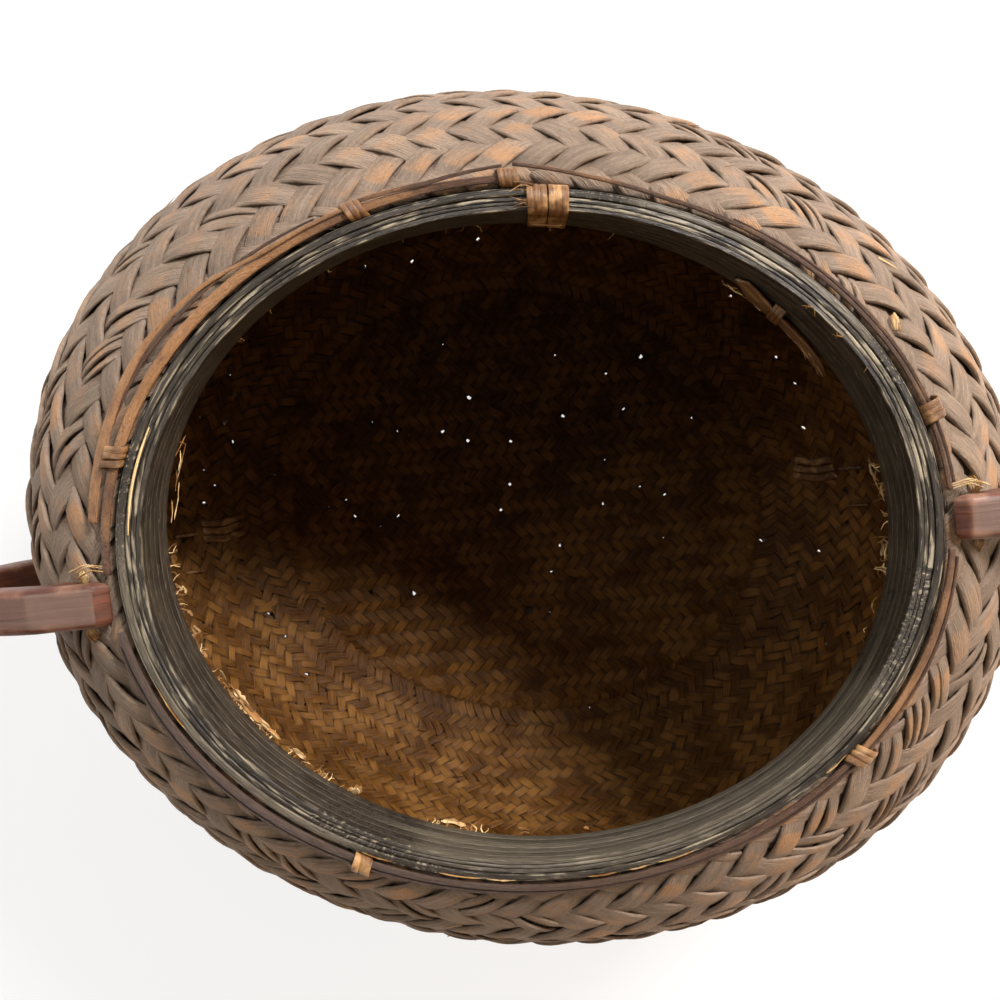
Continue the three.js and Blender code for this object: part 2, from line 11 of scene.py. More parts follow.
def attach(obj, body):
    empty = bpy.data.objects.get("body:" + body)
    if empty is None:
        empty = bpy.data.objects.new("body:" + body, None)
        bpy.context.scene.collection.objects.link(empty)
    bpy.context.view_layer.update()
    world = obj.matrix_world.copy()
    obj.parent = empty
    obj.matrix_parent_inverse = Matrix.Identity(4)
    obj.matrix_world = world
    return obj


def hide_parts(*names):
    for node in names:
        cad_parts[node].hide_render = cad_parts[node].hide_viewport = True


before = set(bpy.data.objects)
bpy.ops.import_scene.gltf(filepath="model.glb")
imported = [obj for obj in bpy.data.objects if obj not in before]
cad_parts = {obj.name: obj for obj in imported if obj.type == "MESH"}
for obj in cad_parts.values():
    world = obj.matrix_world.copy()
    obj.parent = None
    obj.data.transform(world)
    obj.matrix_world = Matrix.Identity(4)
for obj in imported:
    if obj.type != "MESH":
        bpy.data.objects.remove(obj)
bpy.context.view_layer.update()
random.seed(11)
chance = np.random.default_rng(11)
uniform = random.uniform
mm = 0.001


def newObject(name, data):
    made = bpy.data.objects.new(name, data)
    bpy.context.scene.collection.objects.link(made)
    return made


def meshFrom(bm, name):
    mesh = bpy.data.meshes.new(name)
    bm.to_mesh(mesh)
    bm.free()
    return mesh


# Camera, where the photograph was taken from
view = {
    "place": (-0.0065, 0.0344, 0.5958),
    "look": (-0.00565, -0.0556, -0.9984),
    "turn": -5.8,  # degrees from X to the picture's right
    "focal": 1072,  # pixels
    "picture": 1000,
}


def addCamera():
    data = bpy.data.cameras.new("camera")
    data.sensor_width = 36
    data.lens = data.sensor_width * view["focal"] / view["picture"]
    look = Vector(view["look"]).normalized()
    turn = radians(view["turn"])
    right = Vector((cos(turn), sin(turn), 0))
    right = (right - look * right.dot(look)).normalized()
    up = right.cross(look)
    camera = newObject("camera", data)
    camera.matrix_world = Matrix.Translation(view["place"]) @ Matrix((right, up, -look)).transposed().to_4x4()
    bpy.context.scene.camera = camera


addCamera()
print("camera placed")


# Materials
def toLinear(hexColour):
    parts = [int(hexColour[i:i + 2], 16) / 255 for i in (1, 3, 5)]
    return [p / 12.92 if p <= 0.04045 else ((p + 0.055) / 1.055) ** 2.4 for p in parts] + [1]


# One node: each input, by name or in order, gets a number, a hex colour or another node's output
def addNode(tree, kind, links=(), output=0, **settings):
    node = tree.nodes.new("ShaderNode" + kind)
    for name, value in settings.items():
        setattr(node, name, value)
    for socket, value in links.items() if isinstance(links, dict) else enumerate(links):
        if isinstance(value, bpy.types.NodeSocket):
            tree.links.new(value, node.inputs[socket])
        else:
            node.inputs[socket].default_value = toLinear(value) if isinstance(value, str) else value
    return node.outputs[output]


def newMaterial(name, roughness, specular):
    material = bpy.data.materials.new(name)
    material.use_nodes = True
    shader = material.node_tree.nodes["Principled BSDF"]
    for socket, value in (("Roughness", roughness), ("IOR", 1.5), ("Specular IOR Level", specular)):
        shader.inputs[socket].default_value = value
    return material, material.node_tree, shader


smooth = {"interpolation_type": "SMOOTHSTEP"}


# Colours laid over each other: a layer shows where its masks allow, each a socket with the values
# where it starts and ends and the shares that it gives there, or a socket alone
def paintLayers(tree, finish, layers):
    paint = finish["dark"]
    for colour, *masks in layers:
        shares = [addNode(tree, "MapRange", mask, **smooth) if len(mask) > 1 else mask[0] for mask in masks]
        share = shares[0] if len(shares) == 1 else addNode(tree, "Math", shares, operation="MULTIPLY")
        paint = addNode(tree, "Mix", {0: share, 6: paint, 7: finish[colour]}, 2, data_type="RGBA")
    return paint


def finishMaterial(tree, shader, colour, height, relief):
    bump = addNode(tree, "Bump", {"Height": height, "Strength": 1.0, "Distance": relief})
    tree.links.new(colour, shader.inputs["Base Color"])
    tree.links.new(bump, shader.inputs["Normal"])


# Split rattan or bamboo, run lengthwise: fine grain along the strip, ribs across it, rubbed where it
# stands proud and dusty where it lies low. Lengths are in metres, and ribs are counted over half a strip.
plainStrip = {"patchRibs": 0, "rubFrom": 0.5, "tintWear": 0.16, "dull": "#4d4139", "dullShare": 0.0}


def stripMaterial(name, **own):
    finish = dict(plainStrip, **own)
    material, tree, shader = newMaterial(name, finish["roughness"], finish["specular"])
    uv = addNode(tree, "UVMap", uv_map="strip")
    place = addNode(tree, "TexCoord", (), "Object")
    tint, proud = [addNode(tree, "Attribute", (), "Fac", attribute_name=kind) for kind in ("tint", "proud")]
    shift = addNode(tree, "CombineXYZ", [tint, tint])
    strip = addNode(tree, "VectorMath", [uv, shift], operation="ADD")
    flow = addNode(tree, "Mapping", {0: strip, "Scale": (1 / finish["grainLength"], finish["ribs"], 1)})
    grain = addNode(tree, "TexNoise", {"Vector": flow, "Scale": 1, "Detail": 5, "Roughness": 0.62})
    flow = addNode(tree, "Mapping", {0: strip, "Scale": (4 / finish["grainLength"], 5 * finish["ribs"], 1)})
    fibre = addNode(tree, "TexNoise", {"Vector": flow, "Scale": 1, "Detail": 3})
    spot, scale = place, 1 / finish["patch"]
    if finish["patchRibs"]:  # patches drawn out along the strip
        spot, scale = addNode(tree, "Mapping", {0: strip, "Scale": (scale, finish["patchRibs"], 1)}), 1
    patch = addNode(tree, "TexNoise", {"Vector": spot, "Scale": scale, "Detail": 3})
    speck = addNode(tree, "TexNoise", {"Vector": place, "Scale": 1 / finish["speckSize"], "Detail": 4,
                                       "Roughness": 0.7})
    wear = addNode(tree, "Math", [tint, finish["tintWear"], patch], operation="MULTIPLY_ADD")
    wear = addNode(tree, "Math", [fibre, 0.35, wear], operation="MULTIPLY_ADD")
    wood = paintLayers(tree, finish, [
        ("light", (grain, 0.3, 0.7)),
        ("line", (fibre, 0.35, 0.75, 0, finish["streak"])),
        ("rubbed", (proud, finish["rubFrom"], 0.95), (wear, *finish["rub"], 0, finish["rubShare"])),
        ("rubbed", (fibre, 0.60, 0.70, 0, finish["scratch"])),
        ("dust", (proud, 0.15, 0.95, 1, 0.25), (patch, 0.35, 0.62, 0, finish["dustShare"])),
        ("line", (speck, 0.48, 0.72, 0, finish["specks"])),
        ("dust", (speck, 0.24, 0.44, finish["specks"], 0)),
        ("dull", (tint, 0.05, 0.3, finish["dullShare"], 0), (fibre, 0.42, 0.62, 1, 0.45)),
    ])
    shade = addNode(tree, "MapRange", [tint, 0, 1, finish["darkest"], 1.1], **smooth)
    tone = addNode(tree, "CombineColor", [shade] * 3)
    wood = addNode(tree, "Mix", {0: 1.0, 6: wood, 7: tone}, 2, data_type="RGBA", blend_type="MULTIPLY")
    height = addNode(tree, "Math", [grain, 0.7, fibre], operation="MULTIPLY_ADD")
    height = addNode(tree, "Math", [speck, finish["specks"], height], operation="MULTIPLY_ADD")
    finishMaterial(tree, shader, wood, height, finish["relief"])
    return material


# Old outer rattan: matt, dusty taupe in the hollows, rubbed to orange brown on the floats
agedRattan = stripMaterial(
    "aged_split_rattan", dark="#705f4e", light="#95816c", line="#5a493d", rubbed="#a97a4a", dust="#917e6f",
    grainLength=0.020, ribs=2.3, patch=0.020, speckSize=0.0014, streak=0.45, scratch=0.12, specks=0.45,
    rubFrom=0.82, rub=(0.66, 0.95), rubShare=0.8, dustShare=0.6, darkest=0.86, relief=0.0010,
    roughness=0.68, specular=0.35)

# Fine bamboo splint of the lining: golden brown, satin, a little darker in the joints
splintBamboo = stripMaterial(
    "bamboo_splint", dark="#46290a", light="#774b18", line="#2e1a06", rubbed="#9c6c30", dust="#5d4a35",
    grainLength=0.012, ribs=1.2, patch=0.018, speckSize=0.0010, streak=0.5, scratch=0.15, specks=0.15,
    rub=(0.62, 0.9), rubShare=0.65, dustShare=0.4, darkest=0.9, relief=0.0005, roughness=0.5, specular=0.24)

# Rattan strips round the rim and the foot: brown where they are sound, rubbed to orange, or grey with dust
edgeRattan = stripMaterial(
    "edge_rattan", dark="#4c3426", light="#7a563f", line="#35251b", rubbed="#b98550", dust="#6b6058",
    grainLength=0.022, ribs=1.6, patch=0.022, speckSize=0.0012, streak=0.8, scratch=0.15, specks=0.5,
    rub=(0.84, 1.12), tintWear=0.45, rubShare=0.85, dustShare=0.5, dullShare=0.85, darkest=0.9, relief=0.0008,
    roughness=0.5, specular=0.45)

# Glossy rattan skin of bindings and lashings: golden brown with straw-coloured breaks, whose pale colour on
# what stands proud is also a painted gloss highlight
skinRattan = stripMaterial(
    "rattan_skin", dark="#5a3b22", light="#956638", line="#33210f", rubbed="#d8a96e", dust="#6e5844",
    grainLength=0.010, ribs=2.0, patch=0.006, speckSize=0.0010, streak=0.6, scratch=0.3, specks=0.2,
    rub=(0.74, 0.98), rubShare=0.85, dustShare=0.25, darkest=0.7, relief=0.0003, roughness=0.28,
    specular=0.55)

# Torn bamboo fibre: raw, pale straw to orange
tornFibre = stripMaterial(
    "torn_bamboo_fibre", dark="#8a5427", light="#c3914f", line="#5e3d20", rubbed="#efcf96", dust="#94704c",
    grainLength=0.010, ribs=1.5, patch=0.006, speckSize=0.0010, streak=0.4, scratch=0.1, specks=0.3,
    rubFrom=0.3, rub=(0.66, 0.9), tintWear=0.3, rubShare=0.9, dustShare=0.1, darkest=0.55, relief=0.0002,
    roughness=0.6, specular=0.3)

# Black lacquer over bamboo, worn through on its top edges to grey and straw
wornLacquer = stripMaterial(
    "worn_black_lacquer", dark="#1c1812", light="#3d352a", line="#13100c", rubbed="#a99d83", dust="#554b3d",
    dull="#756c5b", grainLength=0.026, ribs=0.55, patch=0.016, patchRibs=0.5, speckSize=0.0009, streak=0.9,
    scratch=0.4, specks=0.4, rubFrom=0.55, rub=(0.73, 0.9), tintWear=0.1, rubShare=0.8, dustShare=0.35,
    dullShare=0.9, darkest=0.85, relief=0.0004, roughness=0.45, specular=0.45)


# Carved hardwood of the handles: red brown, close grain, with a painted grey sheen on what faces up
def handleMaterial():
    finish = {"dark": "#3e2017", "light": "#643521", "grey": "#6a554a", "edge": "#8f6a54",
              "grain": 0.0022, "length": 0.030, "patches": 90, "relief": 0.0003}
    material, tree, shader = newMaterial("carved_hardwood", 0.5, 0.4)
    place = addNode(tree, "TexCoord", (), "Object")
    fine, long = 1 / finish["grain"], 1 / finish["length"]
    flow = addNode(tree, "Mapping", {0: place, "Scale": (long, fine, long)})
    grain = addNode(tree, "TexNoise", {"Vector": flow, "Scale": 1, "Detail": 5, "Distortion": 0.4})
    patch = addNode(tree, "TexNoise", {"Vector": place, "Scale": finish["patches"], "Detail": 4})
    up = addNode(tree, "SeparateXYZ", [addNode(tree, "NewGeometry", (), "Normal")], 2)
    corner = addNode(tree, "Attribute", (), "Fac", attribute_name="proud")
    wood = paintLayers(tree, finish, [
        ("light", (grain, 0.3, 0.7)),
        # painted sheen: lighter grey where the face points up, as if lit from above
        ("grey", (up, 0.88, 0.99), (patch, 0.2, 0.5, 0.55, 0.95)),
        ("edge", (corner,), (patch, 0.42, 0.75)),
    ])
    height = addNode(tree, "Math", [grain, patch], operation="ADD")
    finishMaterial(tree, shader, wood, height, finish["relief"])
    return material


handleWood = handleMaterial()
skin = (skinRattan, "bright_rattan")
print("materials made")


# The wall: an oval jar that turns and widens from the mouth to the belly, as the CAD wall does
wall = {
    "mouth": (0.2766, 0.2320, -4.3),  # length, width, and degrees from X
    "belly": (0.4090, 0.3490, -17.8),
    "base": (0.2680, 0.2290, -17.8),
    "height": 0.240,
    "bellyHeight": 0.130,
    "footHeight": 0.010,
    "ledge": (0.006, 0.003),  # width, and drop from the top of the rim
    "leans": (60, 62),  # degrees from upright, at the rim and at the base
    "baseCorner": 0.014,
    "thick": 0.005,
    "lining": 0.0016,
    "fit": 0.0003,
}
mouthMean, bellyMean, baseMean = [sum(wall[name][:2]) / 4 for name in ("mouth", "belly", "base")]
ledgeRadius = mouthMean + wall["ledge"][0]
top = wall["height"]
ledgeTop = top - wall["ledge"][1]


def ellipseRadius(angle, oval):
    turned = angle - radians(oval[2])
    return 1 / np.hypot(np.cos(turned) / (oval[0] / 2), np.sin(turned) / (oval[1] / 2))


def ovalFactor(angle, z):
    lean = radians(wall["leans"][0])
    rise = np.clip((z - wall["bellyHeight"]) / (ledgeTop - wall["bellyHeight"]), 0, 1)
    share = (np.cos(np.arcsin(rise * sin(lean))) - cos(lean)) / (1 - cos(lean))
    drop = np.clip((wall["bellyHeight"] - z) / (wall["bellyHeight"] - wall["footHeight"]), 0, 1)
    mouth, belly, base = [ellipseRadius(angle, wall[name]) / mean for name, mean in
                          (("mouth", mouthMean), ("belly", bellyMean), ("base", baseMean))]
    return mouth + (belly - mouth) * share + (base - belly) * drop


# The wall's outer face from the ledge to the flat base, as radius and height
def outerLine():
    high, low = [radians(lean) for lean in wall["leans"]]
    corner = pi / 2 - low
    bend = [(baseMean + wall["baseCorner"] * sin(a), wall["footHeight"] + wall["baseCorner"] * (1 - cos(a)))
            for a in np.linspace(corner, 0, 6)]
    belly, steps = wall["bellyHeight"], 24

    def arc(lean, share, radius, z):
        inward = (1 - cos(lean * share)) / (1 - cos(lean))
        run = sin(lean * share) / sin(lean)
        return (bellyMean + (radius - bellyMean) * inward, belly + (z - belly) * run)

    upper = [arc(high, i / steps, ledgeRadius, ledgeTop) for i in range(steps, 0, -1)]
    lower = [arc(low, i / steps, *bend[0]) for i in range(steps + 1)]
    return upper + lower + bend[1:] + [(baseMean - 0.03, wall["footHeight"])]


# Running sum that starts at 0
def runningSum(steps):
    return np.concatenate([[0], np.cumsum(steps)])


def pathRun(path):
    return runningSum(np.linalg.norm(np.diff(path, axis=0), axis=1))


# A line to lay strips on: evenly spaced points, smoothed, with their outward way and the run so far
def smoothLine(points, smoothing=3):
    points = np.array(points)
    run = pathRun(points)
    even = np.linspace(0, run[-1], int(run[-1] / mm))
    radius, z = [np.interp(even, run, points[:, k]) for k in (0, 1)]
    for _ in range(smoothing):
        for values in (radius, z):
            values[1:-1] = (values[:-2] + values[1:-1] + values[2:]) / 3
    alongR, alongZ = np.gradient(radius, even), np.gradient(z, even)
    size = np.hypot(alongR, alongZ)
    return {"run": even, "radius": radius, "z": z, "outR": -alongZ / size, "outZ": alongR / size}


def insetLine(points, depth):
    line = smoothLine(points, 0)
    return np.column_stack([line["radius"] - line["outR"] * depth, line["z"] - line["outZ"] * depth])


def press(angle, radius, z):
    radius = radius * ovalFactor(angle, z)
    return np.column_stack([radius * np.cos(angle), radius * np.sin(angle), z])


# Points on the wall: angle round it, run down it, and height over the line, pressed to the oval
def onWall(line, angle, run, out):
    radius, z, outR, outZ = [np.interp(run, line["run"], line[k]) for k in ("radius", "z", "outR", "outZ")]
    return press(angle, radius + outR * out, z + outZ * out)


# One closed strip, unit size: across is -1 to 1 in X, rise is in Y and along is 0 to 1 in Z, and as
# many copies of it as there are strips
def stripBundle(name, sides, stations, count):
    bm = bmesh.new()
    bmesh.ops.create_cone(bm, cap_ends=True, segments=sides, radius1=1, radius2=1, depth=1)
    turn = Matrix.Rotation(pi / sides if sides == 4 else 0, 3, "Z")
    bmesh.ops.rotate(bm, verts=bm.verts, cent=(0, 0, 0), matrix=turn)
    bmesh.ops.translate(bm, verts=bm.verts, vec=(0, 0, 0.5))
    lengths = [e for e in bm.edges if abs(e.verts[0].co.z - e.verts[1].co.z) > 0.5]
    bmesh.ops.subdivide_edges(bm, edges=lengths, cuts=stations - 1, use_grid_fill=True)
    for face in bm.faces:
        face.smooth = len(face.verts) == 4 and abs(face.normal.z) < 0.5
    if sides == 4:
        for edge in bm.edges:
            edge.smooth = abs(edge.verts[0].co.z - edge.verts[1].co.z) < 1e-5
    unit = bpy.data.meshes.new("unit_strip")
    bm.to_mesh(unit)
    bm.clear()
    for _ in range(count):
        bm.from_mesh(unit)
    mesh = meshFrom(bm, name)
    places = np.zeros(len(mesh.vertices) * 3)
    mesh.vertices.foreach_get("co", places)
    index = np.arange(len(mesh.vertices)) // len(unit.vertices)
    bpy.data.meshes.remove(unit)
    return mesh, index, *places.reshape(-1, 3).T


def rounded(values, power):
    return np.sign(values) * np.abs(values) ** power


# Section of a plait strip: crowned above, flatter below
def plaitSection(x, y, sides):
    if sides == 4:
        return np.sign(x) * np.where(y > 0, 0.86, 1.0), np.where(y > 0, 1.0, 0.0)
    return rounded(x, 0.4), np.where(y > 0, np.abs(y) ** 0.35, -0.6 * np.abs(y))


def setStrip(mesh, places, along, across, tint, proud):
    mesh.vertices.foreach_set("co", places.ravel())
    corners = np.zeros(len(mesh.loops), int)
    mesh.loops.foreach_get("vertex_index", corners)
    uv = mesh.uv_layers.new(name="strip")
    uv.data.foreach_set("uv", np.column_stack([along[corners], across[corners]]).ravel())
    for name, values in (("tint", tint), ("proud", proud)):
        mesh.attributes.new(name, "FLOAT", "POINT").data.foreach_set("value", values.astype(np.float32))
    mesh.update()


def showPiece(mesh, material, slot, *nodes):
    piece = newObject(mesh.name, mesh)
    mesh.materials.append(material)
    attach(piece, "root")
    if nodes:
        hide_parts(*nodes)


# Over two and under two: 1 where a strip lies on top, -1 where it lies below
def plaitWave(crossing, sharp):
    return np.tanh(sharp * np.cos(np.pi * (crossing - 0.5) / 2)) / tanh(sharp)


def proudShare(wave, rise, weave):
    return np.clip(0.5 + 0.4 * wave + 0.25 * (rise - 0.7) + weave["rub"], 0, 1)


# Pinholes: places where the light comes through both plaits, as seen from over the mouth. Strips are
# pushed aside from each sight line.
pinholes = []
eye = np.array(view["place"])
sight = {"reach": 0.012, "fade": 0.005}  # how far from a sight line strips bend, in metres


def addPinhole(point, radius, through=True):
    way = np.array(point) - eye
    pinholes.append({"way": way / np.linalg.norm(way), "radius": radius, "through": through})


# Where the middles of strips go, pushed aside from the pinholes
def pushAside(lay, core, low, half, weave):
    step = 0.1 * mm
    centre = lay(core, low)
    lateral = (lay(core + step, low) - centre) / step
    shift = np.zeros(len(centre))
    for hole in pinholes:
        if weave["face"] > 0 and not hole["through"]:
            continue
        offset = centre - eye
        offset = offset - (offset @ hole["way"])[:, None] * hole["way"]
        near = np.nonzero((offset ** 2).sum(axis=1) < sight["reach"] ** 2)[0]
        away = (offset[near] * lateral[near]).sum(axis=1)
        along = (offset[near] ** 2).sum(axis=1) - away ** 2
        reach = (hole["radius"] * weave["open"] + half[near]) * np.exp(-along / sight["fade"] ** 2)
        moved = np.sign(away) * np.maximum(0, reach - np.abs(away))
        shift[near] = np.where(np.abs(moved) > np.abs(shift[near]), moved, shift[near])
    return core + shift


# How the strips lean and how far round they have gone, along a line
def strandTurn(weave, line):
    lean = np.radians(weave["lean"](line["radius"]))
    return lean, runningSum(np.tan(lean[:-1]) / line["radius"][:-1] * np.diff(line["run"]))


# One of the two ways of a plait laid round the wall
def layWallPlait(name, line, weave, way):
    lean, turn = strandTurn(weave, line)
    step = 2 * pi / weave["count"]
    crossings = 2 * turn[-1] / step
    strands = []
    for k in range(weave["count"]):
        parts = random.choices([1, 2, 3], weave["splits"])[0]
        tint = random.random()
        for part in range(parts):
            strands.append({
                "angle": (k + random.gauss(0, weave["stray"])) * step,
                "offset": (2 * part + 1) / parts - 1,
                "share": (1 - 0.03 * (parts - 1)) / parts * uniform(0.95, 1.06),
                "lift": random.gauss(0, weave["lift"]),
                "tint": min(1, max(0, tint + random.gauss(0, 0.12))),
                "sway": uniform(0, 6.3),
            })
    before = weave["before"]
    stations = int((crossings + before) * weave["stations"])
    mesh, index, sectionX, sectionY, share = stripBundle(name, weave["sides"], stations, len(strands))
    across, rise = plaitSection(sectionX, sectionY, weave["sides"])
    angle0, offset, part, lift, tint, sway = [np.array([s[k] for s in strands])[index] for k in
                                              ("angle", "offset", "share", "lift", "tint", "sway")]
    crossing = share * (crossings + before) - before
    turned = crossing * step / 2
    run = np.interp(turned, turn, line["run"])
    radius, leanHere = np.interp(run, line["run"], line["radius"]), np.interp(run, line["run"], lean)
    pitch = step * radius * np.cos(leanHere)
    wave = way * plaitWave(crossing, weave["sharp"])
    half = pitch * weave["cover"] / 2 * (1 - weave["pinch"] * (1 - wave) / 2)
    half = half * (1 + weave["uneven"] * np.sin(crossing * 0.9 + sway))
    middle = angle0 + way * turned + weave["wander"] * np.sin(crossing * 1.7 + sway) / radius
    reach = radius * ovalFactor(middle, 0.15)
    low = weave["face"] * (weave["amplitude"] * wave + lift) - weave["depth"]

    def lay(side, out):
        turned, sunk = side * np.cos(leanHere) / reach, way * side * np.sin(leanHere)
        return onWall(line, middle + turned, run - sunk, out)

    core = pushAside(lay, half * offset, low, half * part, weave)
    crown = weave["strip"] * (1 - 0.2 * (offset ** 2))
    tip = weave["tilt"] * (0.4 + 0.6 * wave + 0.1 * np.sin(crossing * 0.6 + 2 * sway)) * way * across
    places = lay(core + half * across * part, low + weave["face"] * (rise * crown + tip))
    proud = proudShare(wave, rise, weave)
    setStrip(mesh, places, run / np.cos(leanHere), offset + across * part, tint, proud)
    if weave["face"] * way < 0:
        mesh.flip_normals()
    return mesh


def turnPoint(x, y, turn):
    return x * cos(turn) - y * sin(turn), x * sin(turn) + y * cos(turn)


# One of the two ways of a flat plait, cut to the oval
def layFlatPlait(name, plate, weave, way):
    reach = plate["radius"] * 1.12
    count = int(2 * reach / weave["pitch"])
    stations = int(count * weave["stations"])
    mesh, index, sectionX, sectionY, share = stripBundle(name, weave["sides"], stations, count)
    across, rise = plaitSection(sectionX, sectionY, weave["sides"])
    middle = (np.arange(count) - (count - 1) / 2) * weave["pitch"]
    steps = np.linspace(-reach, reach, 400)
    turn = radians(plate["turn"])
    ends = np.zeros((count, 2))
    for k in range(count):
        x, y = (middle[k], steps) if way > 0 else (steps, middle[k])
        edge = plate["radius"] * ovalFactor(np.arctan2(y, x) + turn, plate["z"])
        inside = steps[np.hypot(x, y) < edge]
        ends[k] = (inside[0], inside[-1]) if len(inside) > 3 else (0, weave["pitch"])
    ends = ends + chance.uniform(-0.002, 0.002, ends.shape)
    tints = chance.uniform(0, 1, count)
    along = ends[index, 0] + (ends[index, 1] - ends[index, 0]) * share
    crossing = (along + reach) / weave["pitch"] - 0.5 + index
    wave = way * plaitWave(crossing, weave["sharp"])
    half = np.full(len(share), weave["pitch"] * weave["cover"] / 2)

    def lay(side, out):
        x, y = (side, along) if way > 0 else (along, side)
        return np.column_stack([*turnPoint(x, y, turn), plate["z"] + plate["face"] * out])

    low = weave["amplitude"] * wave
    core = pushAside(lay, middle[index], low, half, weave)
    places = lay(core + across * half, low + rise * weave["strip"])
    setStrip(mesh, places, along + 0.4, across, tints[index], proudShare(wave, rise, weave))
    if plate["face"] * way < 0:
        mesh.flip_normals()
    return mesh


# Where the pinholes are: at corners between strips of the outer plait, most at the left and the back
def choosePinholes(weave, line, pitch, turn):
    tries = {"wall": 66, "angles": ((140, 180), (80, 160), (-35, 50)), "floor": 76, "floorReach": 0.108}
    choice = random.Random(5)
    step = 2 * pi / weave["count"]
    turned = strandTurn(weave, line)[1]
    seen = [(167, 51, 1.3), (170, 56, 1.4), (170, 30, 1.2), (162, 24, 0.7), (174, 63, 0.6), (174, 33, 0.8),
            (175, 45, 0.7), (178, 49, 0.6), (184, 23, 0.7), (185, 25, 0.6), (191, 27, 0.6), (196, 24, 0.7),
            (205, 26, 0.6), (211, 30, 0.7)]  # angle in degrees, height and radius in millimetres
    holes = [(angle, z * mm, radius) for angle, z, radius in seen]
    for _ in range(tries["wall"]):
        angle = choice.choice([choice.uniform(*span) for span in tries["angles"]])
        holes.append((angle, choice.uniform(0.022, 0.056), choice.uniform(0.35, 0.85)))
    for angle, z, radius in holes:
        run = np.interp(-z, -line["z"], line["run"])
        steps = round(2 * np.interp(run, line["run"], turned) / step)
        run = np.interp(steps * step / 2, turned, line["run"])
        parity = (steps + 1) % 2
        angle = (2 * round((2 * radians(angle) / step - parity) / 2) + parity) * step / 2
        addPinhole(onWall(line, np.array([angle]), np.array([run]), -0.003)[0], radius * mm)
    for _ in range(tries["floor"]):
        x, y = choice.uniform(-0.10, 0.10), choice.gauss(0.03, 0.045)
        if hypot(x, y) > tries["floorReach"]:
            continue
        x, y = [round(side / pitch) * pitch for side in turnPoint(x, y, -turn)]
        addPinhole((*turnPoint(x, y, turn), wall["footHeight"] + 0.0014), choice.uniform(0.3, 0.75) * mm)
    addPinhole((0, -0.059, wall["footHeight"] + 0.0068), 2.2 * mm, False)  # a torn place in the lining alone


# Coarse outer plait, 60 strips each way
def makeOuterPlait():
    weave = {
        "count": 60, "splits": (14, 2, 0.3),  # how often a strip is whole, in two or in three
        "lean": lambda radius: 45 + 7 * (radius - ledgeRadius) / (bellyMean - ledgeRadius),
        "before": 1.0,  # crossings above the line's start
        "cover": 1.17, "uneven": 0.07,  # widths as shares of the pitch
        "amplitude": 0.0012, "depth": 0.0026, "tilt": 0.0007, "wander": 0.0006, "lift": 0.00018,
        "sharp": 1.1, "stray": 0.03, "open": 1.7, "rub": 0.0, "face": 1,
        "sides": 10, "stations": 3.1,
    }
    floor = {"pitch": 0.0105, "turn": 20}
    start = (mouthMean + 1.2 * mm, ledgeTop - 1.5 * mm)
    line = smoothLine([start] + [p for p in outerLine() if p[0] > baseMean - 0.006 or p[1] > 0.05])
    choosePinholes(weave, line, floor["pitch"], radians(floor["turn"]))
    flatter = dict(weave, cover=1.24, pinch=0.06, strip=0.0010, rub=-0.04)
    bowed = dict(weave, cover=1.0, pinch=0.14, strip=0.0015, rub=0.03)  # stands prouder and is more rubbed
    plate = {"radius": baseMean - 0.003, "z": wall["footHeight"] + 0.0022, "turn": floor["turn"], "face": -1}
    flat = dict(weave, pitch=floor["pitch"], strip=0.0012, amplitude=0.0008, stations=3, sides=4)
    for way, side, own in ((1, "right", flatter), (-1, "left", bowed)):
        wallPlait = layWallPlait("outer_plait_" + side, line, own, way)
        basePlait = layFlatPlait("base_plait_" + side, plate, flat, way)
        for mesh in (wallPlait, basePlait):
            showPiece(mesh, agedRattan, "weave_rattan", "outer_weave")


# Fine bamboo lining, 150 splints each way on the wall and a flat plait on the floor
def makeLining():
    weave = {
        "count": 150, "splits": (1, 0, 0), "before": 0.0,
        "lean": lambda radius: np.degrees(np.arccos(np.clip(0.675 / (2 * pi * radius), 0, 1))),
        "cover": 1.0, "pinch": 0.12, "uneven": 0.13,
        "strip": 0.00035, "amplitude": 0.00042, "depth": 0, "tilt": 0.00012, "wander": 0.0005, "lift": 0.0001,
        "sharp": 1.8, "stray": 0.07, "open": 1.0, "rub": 0.0, "face": -1,
        "sides": 4, "stations": 1.8,
    }
    depth = wall["thick"] + wall["fit"] + wall["lining"] / 2
    inside = [p for p in insetLine(outerLine(), depth) if p[1] < top - 0.016 and p[0] > baseMean - 0.012]
    mouth = mouthMean - 0.0037
    line = smoothLine([(mouth, top - 0.001), (mouth, top - 0.009)] + inside, 4)
    plate = {"radius": baseMean - 0.004, "z": wall["footHeight"] + depth + 0.0002, "turn": 45, "face": 1}
    flat = dict(weave, pitch=0.0046, stations=2.2)
    for way, side in ((1, "right"), (-1, "left")):
        wallPlait = layWallPlait("lining_plait_" + side, line, weave, way)
        floorPlait = layFlatPlait("lining_floor_" + side, plate, flat, way)
        for mesh in (wallPlait, floorPlait):
            showPiece(mesh, splintBamboo, "lining_bamboo", "inner_lining")


# A ring: an outline of radius and height points, spun round the axis from an angle in degrees
def spinRing(bm, outline, start, order):
    turn = Matrix.Rotation(radians(start), 3, "Z")
    verts = [bm.verts.new(turn @ Vector((r, 0, z))) for r, z in outline]
    edges = [bm.edges.new((verts[i - 1], verts[i])) for i in range(len(verts))]
    before = set(bm.faces)
    bmesh.ops.spin(bm, geom=verts + edges, cent=(0, 0, 0), axis=(0, 0, 1), angle=2 * pi, steps=240,
                   use_merge=True)
    made = [f for f in bm.faces if f not in before]
    for face in made:
        face[bm.faces.layers.int["ring"]] = order
    return made


